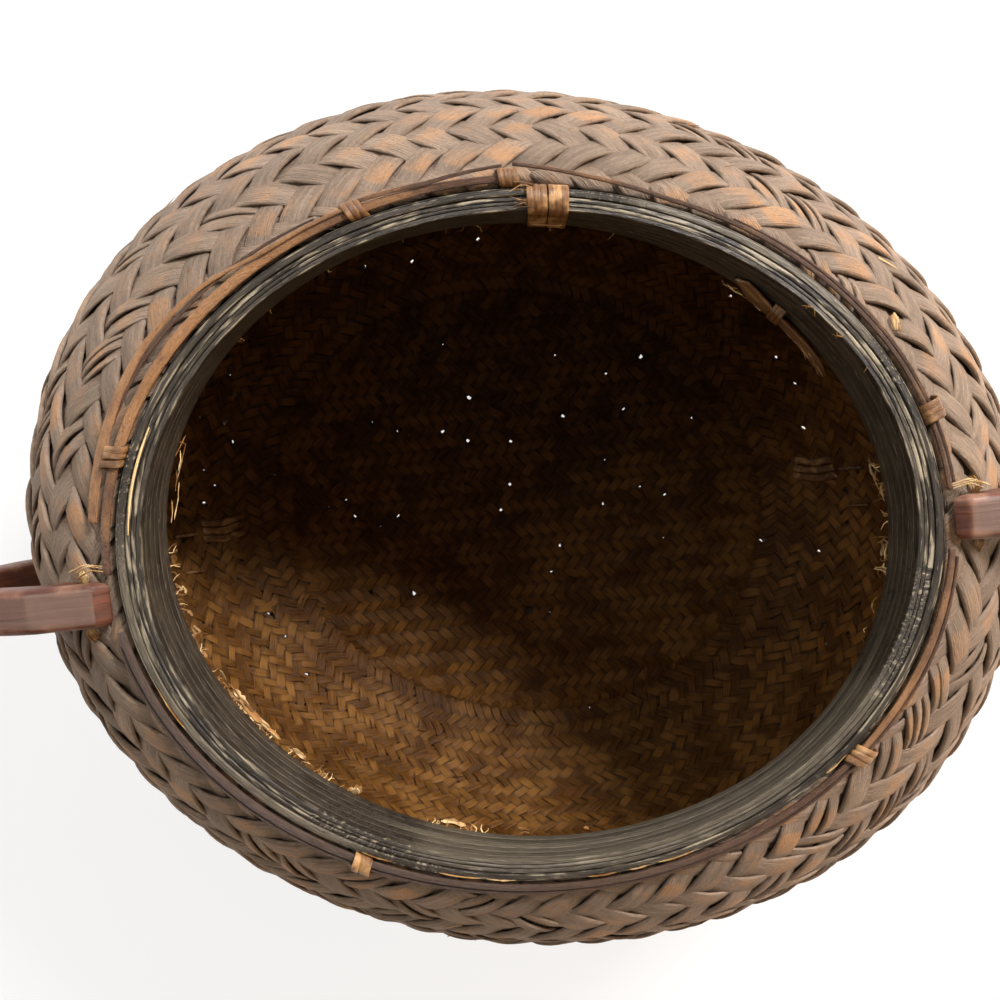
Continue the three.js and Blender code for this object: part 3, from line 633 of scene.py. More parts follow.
def roundedOutline(inner, outer, low, high, bevel, steps=3):
    corners = [(inner + bevel, low + bevel, 180), (outer - bevel, low + bevel, 270),
               (outer - bevel, high - bevel, 0), (inner + bevel, high - bevel, 90)]
    turns = [pi / 2 * i / steps for i in range(steps + 1)]
    return [(r + bevel * cos(radians(start) + turn), z + bevel * sin(radians(start) + turn))
            for r, z, start in corners for turn in turns]


# Rings to one mesh: wavered as if by hand, pressed to the oval, with their grain running round. Where a
# piece is dull, its tint goes down between each second and third of four angles.
def finishRings(bm, name, waver, proudAt, dull=None):
    bmesh.ops.recalc_face_normals(bm, faces=bm.faces)
    layer = bm.faces.layers.int["ring"]
    uv = bm.loops.layers.uv.new("strip")
    tint = bm.verts.layers.float.new("tint")
    proud = bm.verts.layers.float.new("proud")
    shades = {}
    for face in bm.faces:
        face.smooth = len(face.verts) == 4
        key = face[layer]
        shade = shades.setdefault(key, uniform(0.35, 1))
        middle = face.calc_center_median()
        about = atan2(middle.y, middle.x)
        for loop in face.loops:
            x, y, z = loop.vert.co
            a = about + (atan2(y, x) - about + pi) % (2 * pi) - pi
            radius = hypot(x, y)
            loop[uv].uv = (a * radius + key * 0.37, (radius + z) / (2 * mm))
            loop.vert[tint] = shade
            if dull:
                grey = dull["tint"] * (0.1 + 1.4 * shade)
                steps = (shade, grey, grey, shade) * (len(dull["angles"]) // 4)
                loop.vert[tint] = np.interp(degrees(a) % 360, dull["angles"], steps)
            loop.vert[proud] = proudAt(radius, z)
    for vert in bm.verts:
        x, y, z = vert.co
        angle = atan2(y, x)
        radius = hypot(x, y)
        shift, rise = [noise.noise(Vector((cos(angle) * wide, sin(angle) * wide, radius * 600 + seed)))
                       for wide, seed in ((4, 0), (5, 9))]
        radius += waver * shift
        z += waver * rise
        pressed = radius * float(ovalFactor(angle, z))
        vert.co = (pressed * cos(angle), pressed * sin(angle), z)
    return meshFrom(bm, name)


def newRings():
    bm = bmesh.new()
    bm.faces.layers.int.new("ring")
    return bm


# Mouth: the band inside and the hoop outside, each of thin lacquered layers
rim = {"hoop": 0.0026, "hoopHeight": 0.008, "lining": 0.0016, "band": 0.0030, "bandHeight": 0.026,
       "splints": 6, "seam": 0.06 * mm, "slack": 0.2 * mm}
hoopInner = mouthMean - rim["hoop"]
bandOuter = hoopInner - rim["lining"] - 2 * wall["fit"]
bandInner = bandOuter - rim["band"]


def makeBand():
    bm = newRings()
    bottom = top - rim["bandHeight"]
    row, seam, slack = rim["bandHeight"] / rim["splints"], rim["seam"], rim["slack"]
    for k in range(rim["splints"]):
        low = bottom + k * row
        outline = roundedOutline(bandInner, bandOuter - 1.5 * mm, low + seam, low + row - seam, 0.25 * mm)
        spinRing(bm, outline, k * 53, k)
    spinRing(bm, roundedOutline(bandOuter - 1.4 * mm, bandOuter, bottom, top - slack, 0.5 * mm), 20, 7)
    outline = roundedOutline(bandOuter + slack, hoopInner - slack, top - 6 * mm, top - 0.5 * mm, 0.5 * mm)
    spinRing(bm, outline, 70, 8)

    def proudAt(radius, z):
        ridge = abs(((z - bottom) / row) % 1 - 0.5) * 2
        edge = radius < bandInner + 0.3 * mm and z > top - 0.4 * mm
        outside = radius > bandOuter - 1.45 * mm and z > top - 0.8 * mm
        return 0.95 if edge or outside else 0.55 - 0.35 * ridge

    dull = {"angles": (226, 246, 330, 350), "tint": 0.15}
    mesh = finishRings(bm, "rim_band_splints", 0.25 * mm, proudAt, dull)
    showPiece(mesh, wornLacquer, "rim_lacquer", "rim_inner_band")


def makeHoop():
    bm = newRings()
    split = mouthMean - 0.5 * mm
    outline = roundedOutline(hoopInner, split - 0.05 * mm, top - rim["hoopHeight"], top, 0.3 * mm)
    outline[12:12] = [(split - 0.7 * mm, top), (hoopInner + 0.7 * mm, top)]  # on top, between its corners
    spinRing(bm, outline, 110, 1)
    spinRing(bm, roundedOutline(split, mouthMean, top - rim["hoopHeight"], top - 0.3 * mm, 0.2 * mm), 200, 2)

    def proudAt(radius, z):
        edge = radius < hoopInner + 0.35 * mm or radius > split - 0.4 * mm
        return 0.95 if edge and z > top - 0.9 * mm else 0.45

    dull = {"angles": (18, 26, 66, 76, 160, 178, 232, 250), "tint": 0.13}
    mesh = finishRings(bm, "rim_hoop_layers", 0.2 * mm, proudAt, dull)
    showPiece(mesh, wornLacquer, "rim_lacquer", "rim_hoop")


# A smoothed line of evenly spaced points, for a ribbon to follow
def evenPath(points, count, rounds):
    points = np.array(points, float)
    run = pathRun(points)
    even = np.linspace(0, run[-1], count)
    path = np.column_stack([np.interp(even, run, values) for values in points.T])
    for _ in range(rounds):
        path[1:-1] = (path[:-2] + 2 * path[1:-1] + path[2:]) / 4
    return path


# Points given as degrees round the rim, millimetres out and millimetres up, pressed to the oval
def roundPath(points, count, rounds=4):
    scale = (radians(mouthMean), mm, mm)
    around, radius, z = evenPath(np.array(points, float) * scale, count, rounds).T
    return press(around / mouthMean, radius, z)


def unitLong(ways):
    return ways / np.linalg.norm(ways, axis=1)[:, None]


def alongRim(angle):
    return (-sin(radians(angle)), cos(radians(angle)), 0)


# The way round the rim that a length in millimetres takes, in degrees
def rimDegrees(length):
    return degrees(length * mm / mouthMean)


# Path, the way that the flat side lies, then width and thickness in millimetres. Width and tint may
# change along the ribbon.
def addRibbon(ribbons, path, flat, width, thick, tint, proud):
    ribbons.append({"path": path, "flat": flat, "width": width, "thick": thick, "tint": tint, "proud": proud})


# Ribbons to one piece: a rounded flat section, wide as its widths say
def layRibbons(name, ribbons, sides, stations, material, slot, *nodes):
    mesh, index, sectionX, sectionY, share = stripBundle(name, sides, stations, len(ribbons))
    across, rise = rounded(sectionX, 0.6), rounded(sectionY, 0.7)
    places = np.zeros((len(share), 3))
    along, tint, proud = np.zeros((3, len(share)))
    for k, ribbon in enumerate(ribbons):
        own = index == k
        path = ribbon["path"]
        run = pathRun(path)
        way = np.gradient(path, run, axis=0)
        out = unitLong(np.cross(way, np.broadcast_to(ribbon["flat"], path.shape)))
        flat = unitLong(np.cross(out, way))
        at = share[own] * run[-1]
        here, flatHere, outHere = [np.column_stack([np.interp(at, run, part) for part in values.T])
                                   for values in (path, flat, out)]
        widths = np.atleast_1d(ribbon["width"])
        tints = np.atleast_1d(ribbon.get("tint", random.random()))  # its draw keeps later ones in order
        width = np.interp(share[own], np.linspace(0, 1, len(widths)), widths) * mm / 2
        thick = ribbon["thick"] * mm / 2 * np.minimum(1, width / (widths.max() * mm / 2) + 0.25)
        side, up = across[own] * width, rise[own] * thick
        places[own] = here + flatHere * side[:, None] + outHere * up[:, None]
        along[own] = at + k * 0.31
        tint[own] = np.interp(share[own], np.linspace(0, 1, len(tints)), tints)
        proud[own] = ribbon["proud"]
    setStrip(mesh, places, along, across, tint, proud)
    showPiece(mesh, material, slot, *nodes)


# Edge strips round the rim: split rattan, two splints side by side, each thinner or wider and further
# out by turns. A splint is its points, its widths, its thickness and its tints along it.
rimX = mouthMean * float(ovalFactor(0.0, top)) + wall["fit"]
handle = {"middle": (0, -0.007, 0), "half": 0.00775, "clear": 0.0019}  # half its width, and room beside it
handleWay = degrees(asin(handle["middle"][1] / rimX))
handleSpan = degrees((handle["half"] + handle["clear"]) / rimX)
eastStart, eastEnd = handleWay + handleSpan, handleWay - handleSpan  # where the handle at X interrupts them
westStart, westEnd = -180 - handleWay + handleSpan, 180 - handleWay - handleSpan
edgeSplints = {
    "rim_strip_back_left": [
        ([(88.3, 130.9, 239.1), (112, 130.6, 239.2), (140, 130.4, 239.0), (westEnd, 130.4, 239)],
         (2.4, 3.0, 3.6, 4.0, 3.6, 2.6), 2.0, (0.55, 0.7, 0.95, 1.0, 0.9, 0.6)),
        ([(88.6, 135.3, 240.0), (100.5, 132.6, 240.6), (112.2, 133.2, 240.9)], (1.0, 1.5, 1.4), 1.0, 0.6),
    ],
    "rim_strip_back_right": [
        ([(eastStart, 130.0, 239), (30, 129.6, 239.0), (63, 129.8, 239.2), (76, 132.3, 239.8),
          (87.0, 135.6, 240.3)], (1.8, 1.5, 1.6, 1.5, 1.2), 1.6, (0.5, 0.25, 0.3, 0.4, 0.3)),
        ([(eastStart + 1, 131.6, 238.3), (30, 131.4, 238.2), (52, 131.2, 238.2)], (1.2, 1.5, 0.5), 1.4, 0.3),
    ],
    "rim_strip_front_right": [
        ([(-38.2, 129.9, 239), (-20, 130.0, 239.1), (eastEnd, 129.9, 239)], (2.0, 2.5, 2.2), 2.0,
         (0.7, 0.65, 0.5)),
        ([(-37.6, 131.8, 238.6), (-20, 132, 238.7), (eastEnd - 1, 131.8, 238.6)], (1.1, 1.3, 1.0), 1.5, 0.4),
    ],
    "rim_strip_front": [
        ([(westStart, 130.2, 239), (-140, 130.2, 239.1), (-90, 129.9, 239), (-39.4, 130.0, 239)],
         (2.8, 3.0, 2.2, 2.4, 2.0), 2.0, (0.05, 0.1, 0.1, 0.2, 0.4)),
        ([(westStart + 2, 132.3, 238.6), (-120, 132.2, 238.6), (-40, 131.9, 238.6)], (1.2, 1.5, 1.3, 1.0),
         1.4, (0.1, 0.15, 0.3)),
    ],
}
looseSplints = [
    ([(112, 132.4, 241.0), (127, 131.9, 241.0), (137, 136.6, 239.4), (147, 138.2, 237.6), (156, 136.8, 238.0),
      (163, 135.2, 239.0), (172, 134.6, 238.4)], (1.2, 1.4, 1.5, 2.2, 3.8, 4.6, 3.6), 1.0, 0.9),
    ([(118, 133.8, 239.4), (134, 134.9, 238.8), (150, 135.6, 238.2), (160, 134.6, 238.6)],
     (0.6, 1.6, 1.8, 0.6), 0.9, 0.3),
]


def makeEdgeStrips():
    for name, splints in edgeSplints.items():
        ribbons = []
        for points, width, thick, tint in splints:
            path = roundPath(points, 120)
            addRibbon(ribbons, path, unitLong(path * (1, 1, 0)), width, thick, tint, 0.8)
        layRibbons(name + "_splints", ribbons, 10, 110, edgeRattan, "edge_rattan", name)
    ribbons = []
    for points, width, thick, tint in looseSplints:
        path = roundPath(points, 80, 8)
        addRibbon(ribbons, path, unitLong(path * (1, 1, 0)) - (0, 0, 0.45), width, thick, tint, 0.85)
    layRibbons("rim_loose_splints", ribbons, 10, 80, edgeRattan, "bright_rattan", "rim_loose_strip")


# Small ties over the edge strips: three turns of split skin, their ends down in the plait
def makeTies():
    tie = {
        "angles": {"a": 162.7, "b": 112.2, "c": 87.7, "d": 12.2, "e": -38.8, "f": -123},
        "line": [(128, 235.5), (128, 239.6), (128.6, 241.2), (131, 241.7), (133.5, 241.2), (134.3, 239.6),
                 (134.4, 234.5)],
        "turns": 3, "width": 2.5, "thick": 0.9,
        "pitch": 0.95, "slant": 1.0,  # degrees from turn to turn, and along a turn
    }
    for letter, angle in tie["angles"].items():
        ribbons = []
        for turn in range(tie["turns"]):
            middle = angle + (turn - (tie["turns"] - 1) / 2) * tie["pitch"] + uniform(-0.15, 0.15)
            lift = uniform(-0.15, 0.25)
            slants = np.linspace(-0.5, 0.5, len(tie["line"])) * tie["slant"]
            line = [(middle + slant, r, z + lift) for slant, (r, z) in zip(slants, tie["line"])]
            addRibbon(ribbons, roundPath(line, 30, 3), alongRim(angle), tie["width"], tie["thick"],
                      uniform(0.3, 0.9), 0.8)
        layRibbons("rim_tie_turns_" + letter, ribbons, 8, 28, *skin, "rim_tie_" + letter)


# Winding over the joint of the band: six flat turns in two groups, a cross strand and a frayed end
def makeWinding():
    winding = {
        "angle": 81.1, "turns": 6, "pitch": 2.4, "width": 2.5, "thick": 0.9,
        "group": 0.18,  # degrees that each half of the turns stands off
        "loop": [(128.5, 236), (128.5, 239.4), (127.3, 241.1), (124.6, 241.7), (121.4, 241.6), (119.0, 240.4),
                 (118.2, 237.5), (118.1, 215), (119.0, 213.4), (127.0, 213.4), (128.4, 215.0)],
        "across": [(3.2, 118.6, 221.5), (2.6, 117.4, 222.5), (-2.6, 117.4, 221.8), (-3.3, 118.6, 222.8)],
        "frays": 12,
    }
    middle, turns = winding["angle"], winding["turns"]
    line = []
    for turn in range(turns):
        group = winding["group"] if turn >= turns / 2 else -winding["group"]
        for k, (r, z) in enumerate(winding["loop"]):
            place = (turn + k / len(winding["loop"]) - turns / 2) * rimDegrees(winding["pitch"]) + group
            line.append((middle - place, r, z + uniform(-0.15, 0.15)))
    ribbons = []
    addRibbon(ribbons, roundPath(line, turns * 60, 2), alongRim(middle), winding["width"], winding["thick"],
              0.75, 0.85)
    across = roundPath([(middle + turn, r, z) for turn, r, z in winding["across"]], 30)
    addRibbon(ribbons, across, (0, 0, 1), 1.1, 0.7, 0.95, 0.95)
    for _ in range(winding["frays"]):
        start = middle + uniform(2.4, 3.4)
        radius = uniform(120, 128)
        line = [(start, radius, 240.9), (start + uniform(0.8, 1.6), radius + uniform(-1, 1), 241.3),
                (start + uniform(2, 3.4), radius + uniform(-2, 2), 241.2 + uniform(0, 0.9))]
        addRibbon(ribbons, roundPath(line, 12), (0, 0.3, 1), (0.8, 0.6, 0.2), 0.3, random.random(), 0.95)
    layRibbons("rim_joint_turns", ribbons, 8, turns * 30, *skin, "rim_joint_winding")


# Tie on the band inside: a bundle of split ends held by one knot, frayed below it
def makeBandTie():
    tie = {"ends": 12, "knot": 35.7, "knotTurns": 3, "frays": 9}
    ribbons = []
    for k in range(tie["ends"]):
        aside = k - (tie["ends"] - 1) / 2
        spread = aside * 0.85
        line = [(45.6 - abs(aside) * 0.35, 118.4, 221.6 + spread * 0.8), (41.2, 117.2, 219.8 + spread * 1.15),
                (36.4, 116.9, 217.4 + spread * 0.45), (31.6, 117.2, 214.8 + spread * 0.55),
                (26.0 - uniform(0, 4), 117.8, 210.6 + spread * uniform(0.3, 1.0))]
        addRibbon(ribbons, roundPath(line, 36), (0, 0, 1), (1.6, 3.2, 1.8, 1.8, 0.3), 1.5,
                  uniform(0.1, 0.9), uniform(0.3, 0.9))
    for turn in range(tie["knotTurns"]):
        angle = tie["knot"] + turn * 0.75
        loop = [(angle, 119.0, 222.6), (angle - 0.2, 116.3, 221.8), (angle - 0.6, 115.0, 217.4),
                (angle - 0.9, 116.2, 213.6), (angle - 1.0, 119.0, 212.4)]
        addRibbon(ribbons, roundPath(loop, 30), alongRim(angle), 1.8, 1.0, 0.4, 0.7)
    for _ in range(tie["frays"]):
        start = uniform(25, 32)
        line = [(start + 3, 117.4, 213.5), (start, 116.8, 212.0 + uniform(-1, 2)),
                (start - uniform(0.5, 3.5), 116.5, 210.0 + uniform(-3.5, 4))]
        addRibbon(ribbons, roundPath(line, 12), (0, 0, 1), (0.7, 0.6, 0.2), 0.4, 1.0, 1.0)
    layRibbons("band_tie_strands", ribbons, 8, 40, *skin, "band_tie")


# Handles: the carved ears, their skins rounded a little by hand, with the worn corners marked
def makeHandles():
    carve = {"voxel": 0.0009, "waver": 0.0003, "wavelength": 0.022, "edge": 0.00016, "rounds": 5}
    soften = {"factor": 0.5, "use_axis_x": True, "use_axis_y": True, "use_axis_z": True}
    for place in ("right", "left"):
        work = newObject("handle_work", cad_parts["handle_" + place].data.copy())
        remesh = work.modifiers.new("even", "REMESH")
        remesh.mode = "VOXEL"
        remesh.voxel_size = carve["voxel"]
        mesh = bpy.data.meshes.new_from_object(work.evaluated_get(bpy.context.evaluated_depsgraph_get()))
        bpy.data.objects.remove(work)
        mesh.name = "handle_" + place + "_carved"
        bm = bmesh.new()
        bm.from_mesh(mesh)
        bmesh.ops.smooth_vert(bm, verts=bm.verts, **soften)
        bm.normal_update()
        before = [(vert.co.copy(), vert.normal.copy()) for vert in bm.verts]
        for _ in range(carve["rounds"]):
            bmesh.ops.smooth_vert(bm, verts=bm.verts, **soften)
        layer = bm.verts.layers.float.new("proud")
        for vert, (start, normal) in zip(bm.verts, before):
            vert[layer] = min(1, max(0, (start - vert.co).dot(normal) / carve["edge"]))
            vert.co = start + normal * (carve["waver"] * noise.noise(start / carve["wavelength"]))
        for face in bm.faces:
            face.smooth = True
        bm.to_mesh(mesh)
        bm.free()
        mesh.materials.clear()
        showPiece(mesh, handleWood, "handle_wood", "handle_" + place)


# Lashings through the handles' upper ends, with frayed tails
lash = {"x": rimX + 0.013, "z": 0.234, "radius": 0.005, "strands": 4, "tails": 4}
bothSides = (("right", 1), ("left", -1))


def makeLashings():
    high, half = lash["z"], handle["half"]
    for place, side in bothSides:
        ribbons = []
        for k in range(lash["strands"]):
            dx = (k - (lash["strands"] - 1) / 2) * 0.0009
            x, reach = lash["x"] + dx, half + lash["radius"] * (0.85 + 0.1 * k)
            arm = [(x + 0.002, reach, high - 0.014), (x, reach, high - 0.004),
                   (x, half + 0.002, high + 0.0004 * k), (x - dx * 0.5, half * 0.9, high)]
            points = [(x, -y, z) for x, y, z in arm] + arm[::-1]
            path = evenPath(points, 60, 3) * (side, side, 1) + handle["middle"]
            addRibbon(ribbons, path, (side, 0, 0), 0.9, 0.7, uniform(0.0, 0.5), 0.9)
        for _ in range(lash["tails"]):
            near = rimX + uniform(0.002, 0.005)
            far = lash["x"] + uniform(0.000, 0.004)
            y = half + uniform(0.0008, 0.0034)
            points = [(near, y + 0.0015, 0.2392), ((near + far) / 2, y + 0.003, 0.2402),
                      (far, y + 0.0006, 0.2376), (far + 0.002, y - 0.0002, 0.2325)]
            path = evenPath(points, 24, 3) * (side, 1, 1) + handle["middle"]
            addRibbon(ribbons, path, (0, 0.6, 0.8), (0.2, 0.5, 0.45, 0.15), 0.35, 0.5, 1.0)
        layRibbons(f"handle_{place}_strands", ribbons, 8, 56, tornFibre, "bright_rattan",
                   f"handle_{place}_lashing")


# Straps at the handles' lower ends, and the loops of the same lashing that show inside the wall
def makeStraps():
    strap = {"from": (0.048, 0.012), "to": (0.034, 0.005),  # height, and how far out from the wall
             "turns": 4, "pitch": 0.003, "width": 3.1, "thick": 1.3}
    loop = {"line": [(0.0435, -0.004), (0.041, 0.0002), (0.036, 0.001), (0.031, 0.001), (0.026, 0.0002),
                     (0.0245, -0.004)],  # height, and how far in from the lining
            "turns": 3, "pitch": 0.0042, "shift": 0.003, "width": 3.6, "thick": 1.2}
    depth = wall["thick"] + wall["lining"] + 3 * wall["fit"] + 0.0012
    line = smoothLine(outerLine(), 0)
    lower = line["z"] < wall["bellyHeight"]

    def wallAt(z):
        return np.interp(z, line["z"][lower][::-1], line["radius"][lower][::-1]) * float(ovalFactor(0.0, z))

    start, end = [np.array([wallAt(z) + out, 0, z]) for z, out in (strap["from"], strap["to"])]
    way = (end - start) / np.linalg.norm(end - start)
    out = np.array([-way[2], 0, way[0]])
    half = handle["half"] + 0.0011
    rising = [(half + 0.0006, -0.018), (half, -0.004), (half - 0.0002, 0.0002), (half - 0.002, 0.0014)]
    section = [(-y, h) for y, h in rising] + rising[::-1]
    for place, side in bothSides:
        ribbons = []
        for k in range(strap["turns"]):
            middle = (start + end) / 2 + way * (k - (strap["turns"] - 1) / 2) * strap["pitch"]
            slants = np.linspace(-0.0008, 0.0008, len(section))
            points = [middle + out * h + (0, y, 0) + way * slant for slant, (y, h) in zip(slants, section)]
            path = evenPath(points, 50, 2) * (side, side, 1) + handle["middle"]
            addRibbon(ribbons, path, way * (side, side, 1), strap["width"], strap["thick"],
                      uniform(0.3, 0.9), 0.8)
        layRibbons(f"handle_{place}_strap_turns", ribbons, 8, 46, *skin, f"handle_{place}_strap")
        ribbons = []
        for k in range(loop["turns"]):
            y = (k - (loop["turns"] - 1) / 2) * loop["pitch"] + loop["shift"]
            points = [(wallAt(z - 0.25 * (depth + lift)) - depth - lift, y + 0.0012 * sin(z * 300), z)
                      for z, lift in loop["line"]]
            path = evenPath(points, 40, 2) * (side, 1, 1)
            addRibbon(ribbons, path, (0, 1, 0), loop["width"], loop["thick"], uniform(0.6, 1.0), 0.95)
        layRibbons(f"handle_{place}_loop_turns", ribbons, 8, 36, *skin, f"handle_{place}_inner_loop")


# Foot: a thick round hoop, let in where its ties pass under it
def makeFoot():
    foot = {"middle": baseMean - 0.004, "width": 0.009, "bevel": 0.0032, "angles": range(30, 390, 60),
            "notch": 2.3 * mm, "notchHalf": 5.6, "slope": 1.2, "turns": 3, "pitch": 3.3, "turnWidth": 3.4}

    def footDegrees(length):
        return degrees(length * mm / foot["middle"])

    bm = newRings()
    inner, outer = foot["middle"] - foot["width"] / 2, foot["middle"] + foot["width"] / 2
    outline = roundedOutline(inner, outer, 0, wall["footHeight"] - 0.0003, foot["bevel"], 4)
    reach = footDegrees(foot["notchHalf"]) + foot["slope"]
    for vert in {v for f in spinRing(bm, outline, 0, 1) for v in f.verts}:
        angle = degrees(atan2(vert.co.y, vert.co.x))
        near = min(abs((angle - tie + 180) % 360 - 180) for tie in foot["angles"])
        vert.co.z = max(vert.co.z, foot["notch"] * min(1, max(0, (reach - near) / foot["slope"])))
    mesh = finishRings(bm, "foot_hoop_bent", 0.0, lambda radius, z: 0.9 if z < 2 * mm else 0.6)
    showPiece(mesh, edgeRattan, "edge_rattan", "foot_hoop")
    inside, outside = inner / mm - 0.9, outer / mm + 0.9
    for number, angle in enumerate(foot["angles"], 1):
        ribbons = []
        for turn in range(foot["turns"]):
            middle = angle + footDegrees((turn - (foot["turns"] - 1) / 2) * foot["pitch"])
            line = [(middle - 0.3, inside, 9.9), (middle - 0.2, inside, 3.0), (middle, inside + 1.4, 1.35),
                    (middle, outside - 1.4, 1.35), (middle + 0.2, outside, 3.0), (middle + 0.3, outside, 9.9)]
            addRibbon(ribbons, roundPath(line, 36, 2), alongRim(angle), foot["turnWidth"], 1.1,
                      uniform(0.3, 0.9), 0.8)
        layRibbons(f"foot_tie_turns_{number}", ribbons, 8, 34, *skin, f"foot_tie_{number}")


# Torn lining: flat flakes and thin ends under the band, its bare edge at the top, chips and frays
def makeTornEnds():
    flakes = [  # from and to in degrees, how many, longest and widest in millimetres
        (157, 174, 6, 16, 0.8), (176, 186, 7, 4, 1.6), (186, 196, 6, 7, 2.0), (198, 206, 6, 12, 1.8),
        (202, 215, 12, 14, 2.6), (201, 214, 8, 26, 3.2), (216, 222, 7, 8, 2.4), (229, 232, 3, 6, 4.2),
        (247, 254, 6, 12, 2.6), (262, 266, 2, 5, 1.6), (274, 277, 2, 4, 1.6), (-2, 7, 8, 7, 1.2),
        (-13, -5, 6, 6, 1.2), (-24, -15, 4, 5, 0.9), (36, 52, 5, 8, 0.9)]
    torn = [(176, 200, 22, 4), (200, 232, 34, 4), (244, 256, 14, 3), (-14, 6, 18, 6), (60, 160, 12, 3)]
    chipped = [(196, 203), (236, 241), (249, 256), (257, 262), (274, 279), (281, 284), (286, 292), (316, 320)]
    frayed = (34.6, 33.9, 33.5, 28.6, 27.4, 21.5)
    ribbons = []
    for low, high, count, longest, widest in flakes:
        for _ in range(count):
            reach = rimDegrees(uniform(0.3, 1) * longest) / 2
            inset = 0 if high - low < 2 * reach else reach
            angle = uniform(low + inset, high - inset)
            inwards, height = uniform(0.0, 2.2), uniform(-2.0, 0.6)
            slant = uniform(-1, 1)
            radius, z = 119.4 - inwards, 213.6 + height
            line = [(angle - reach, radius - slant, z + 0.2 + slant),
                    (angle, radius - 0.2 - uniform(0, 0.6), z), (angle + reach, radius + slant, z - slant)]
            wide = widest * uniform(0.4, 1)
            ragged = [wide * uniform(0.35, 1) for _ in range(7)]
            flat = (cos(radians(angle)), sin(radians(angle)), uniform(-0.8, 0.8))
            addRibbon(ribbons, roundPath(line, 16, 0), flat, [wide * 0.2] + ragged + [0.15], 0.4,
                      random.random(), uniform(0.2, 1))
    for low, high, count, longest in torn:
        for _ in range(count):
            angle = uniform(low, high)
            reach = uniform(0.3, 1) * longest
            turn = rimDegrees(reach) * uniform(-1.3, 1.3)
            bend = uniform(-0.6, 0.6)
            line = [(angle, 119.8, 214.3), (angle + turn * 0.4 + bend, 118.9 - reach * 0.2, 213.6),
                    (angle + turn, 118.6 - reach * uniform(0.2, 0.8), 213.4 - reach * uniform(-0.1, 0.5))]
            addRibbon(ribbons, roundPath(line, 10, 0), (uniform(-0.5, 0.5), 0, 1),
                      (uniform(0.5, 1.4), uniform(0.3, 0.9), 0.2), 0.3, random.random(), random.random())
    bareEdge = roundPath([(157.5, 123.4, 240.3), (165, 123.3, 240.5), (173.4, 123.0, 240.3)], 30)
    addRibbon(ribbons, bareEdge, (0.8, 0, 0.6), (0.4, 1.2, 1.0, 0.3), 0.5, 1.0, 1.0)
    for low, high in chipped:  # broken cream line along the hoop's outer edge
        line = [(low, 126.7, 239.9), ((low + high) / 2, 126.9, 240.1), (high, 126.7, 239.9)]
        ragged = [uniform(0.2, 1.0) for _ in range(6)]
        addRibbon(ribbons, roundPath(line, 24), (0, 0, 1), [0.1] + ragged + [0.1], 0.5, uniform(0.2, 0.8),
                  uniform(0.5, 1))
    for angle in frayed:  # places on the band's upper edge
        turn = uniform(-1.4, 1.4)
        line = [(angle, 119.6, 239.9), (angle + turn * 0.5, 118.9, 239.4), (angle + turn, 118.2, 238.6)]
        addRibbon(ribbons, roundPath(line, 10, 0), (0, 0.5, 1), (0.8, 0.5, 0.2), 0.3, uniform(0.1, 0.6), 0.4)
    layRibbons("torn_lining_ends", ribbons, 4, 16, tornFibre, "lining_bamboo")


# Splinters that stand off the outer plait: one broken place at the right, and single ones all round
def makeSplinters():
    splinters = {"single": 34, "shortest": 0.003, "longest": 0.009, "patch": 7, "patchAngle": 25.6,
                 "patchRun": 0.0084}
    line = smoothLine([p for p in outerLine() if p[1] > 0.05])
    broken = [(uniform(0, 2 * pi), uniform(0.006, line["run"][-1])) for _ in range(splinters["single"])]
    steps = np.linspace(0, 1, 8)
    arch = np.sin(steps * 3)
    ribbons = []
    for _ in range(splinters["patch"]):
        angles = random.gauss(splinters["patchAngle"], 0.7) - uniform(1.2, 3.0) * steps
        angles += uniform(0.3, 1) * arch
        run = random.gauss(splinters["patchRun"], 0.0011) - uniform(0.003, 0.0055) * steps
        path = onWall(line, np.radians(angles), run, 0.0003 + uniform(0.0002, 0.0010) * arch)
        addRibbon(ribbons, path, (0.75, 0.2, 0.2), (0.2, 0.8, 0.6, 0.15), 0.4, uniform(0.3, 1),
                  uniform(0.4, 1))
    for angle, run in broken:
        length = uniform(splinters["shortest"], splinters["longest"])
        slope = random.choice((-1, -1, 1)) * uniform(0.5, 1.0)
        angles = angle + slope * (steps + 0.4 * steps ** 2) * length / 0.16
        lift = uniform(0.0003, 0.0012) * steps ** 2 - 0.0005
        path = onWall(line, angles, run + steps * length * (1 - abs(slope) * 0.5), lift)
        flat = np.cross((0.5 * cos(angle), 0.5 * sin(angle), 0.85), path[-1] - path[0]) / length
        width = (length * 90, length * 80, 0.15)
        addRibbon(ribbons, path, flat, width, 0.3, random.random(), random.random())
    layRibbons("plait_splinters", ribbons, 4, 8, tornFibre, "bright_rattan")


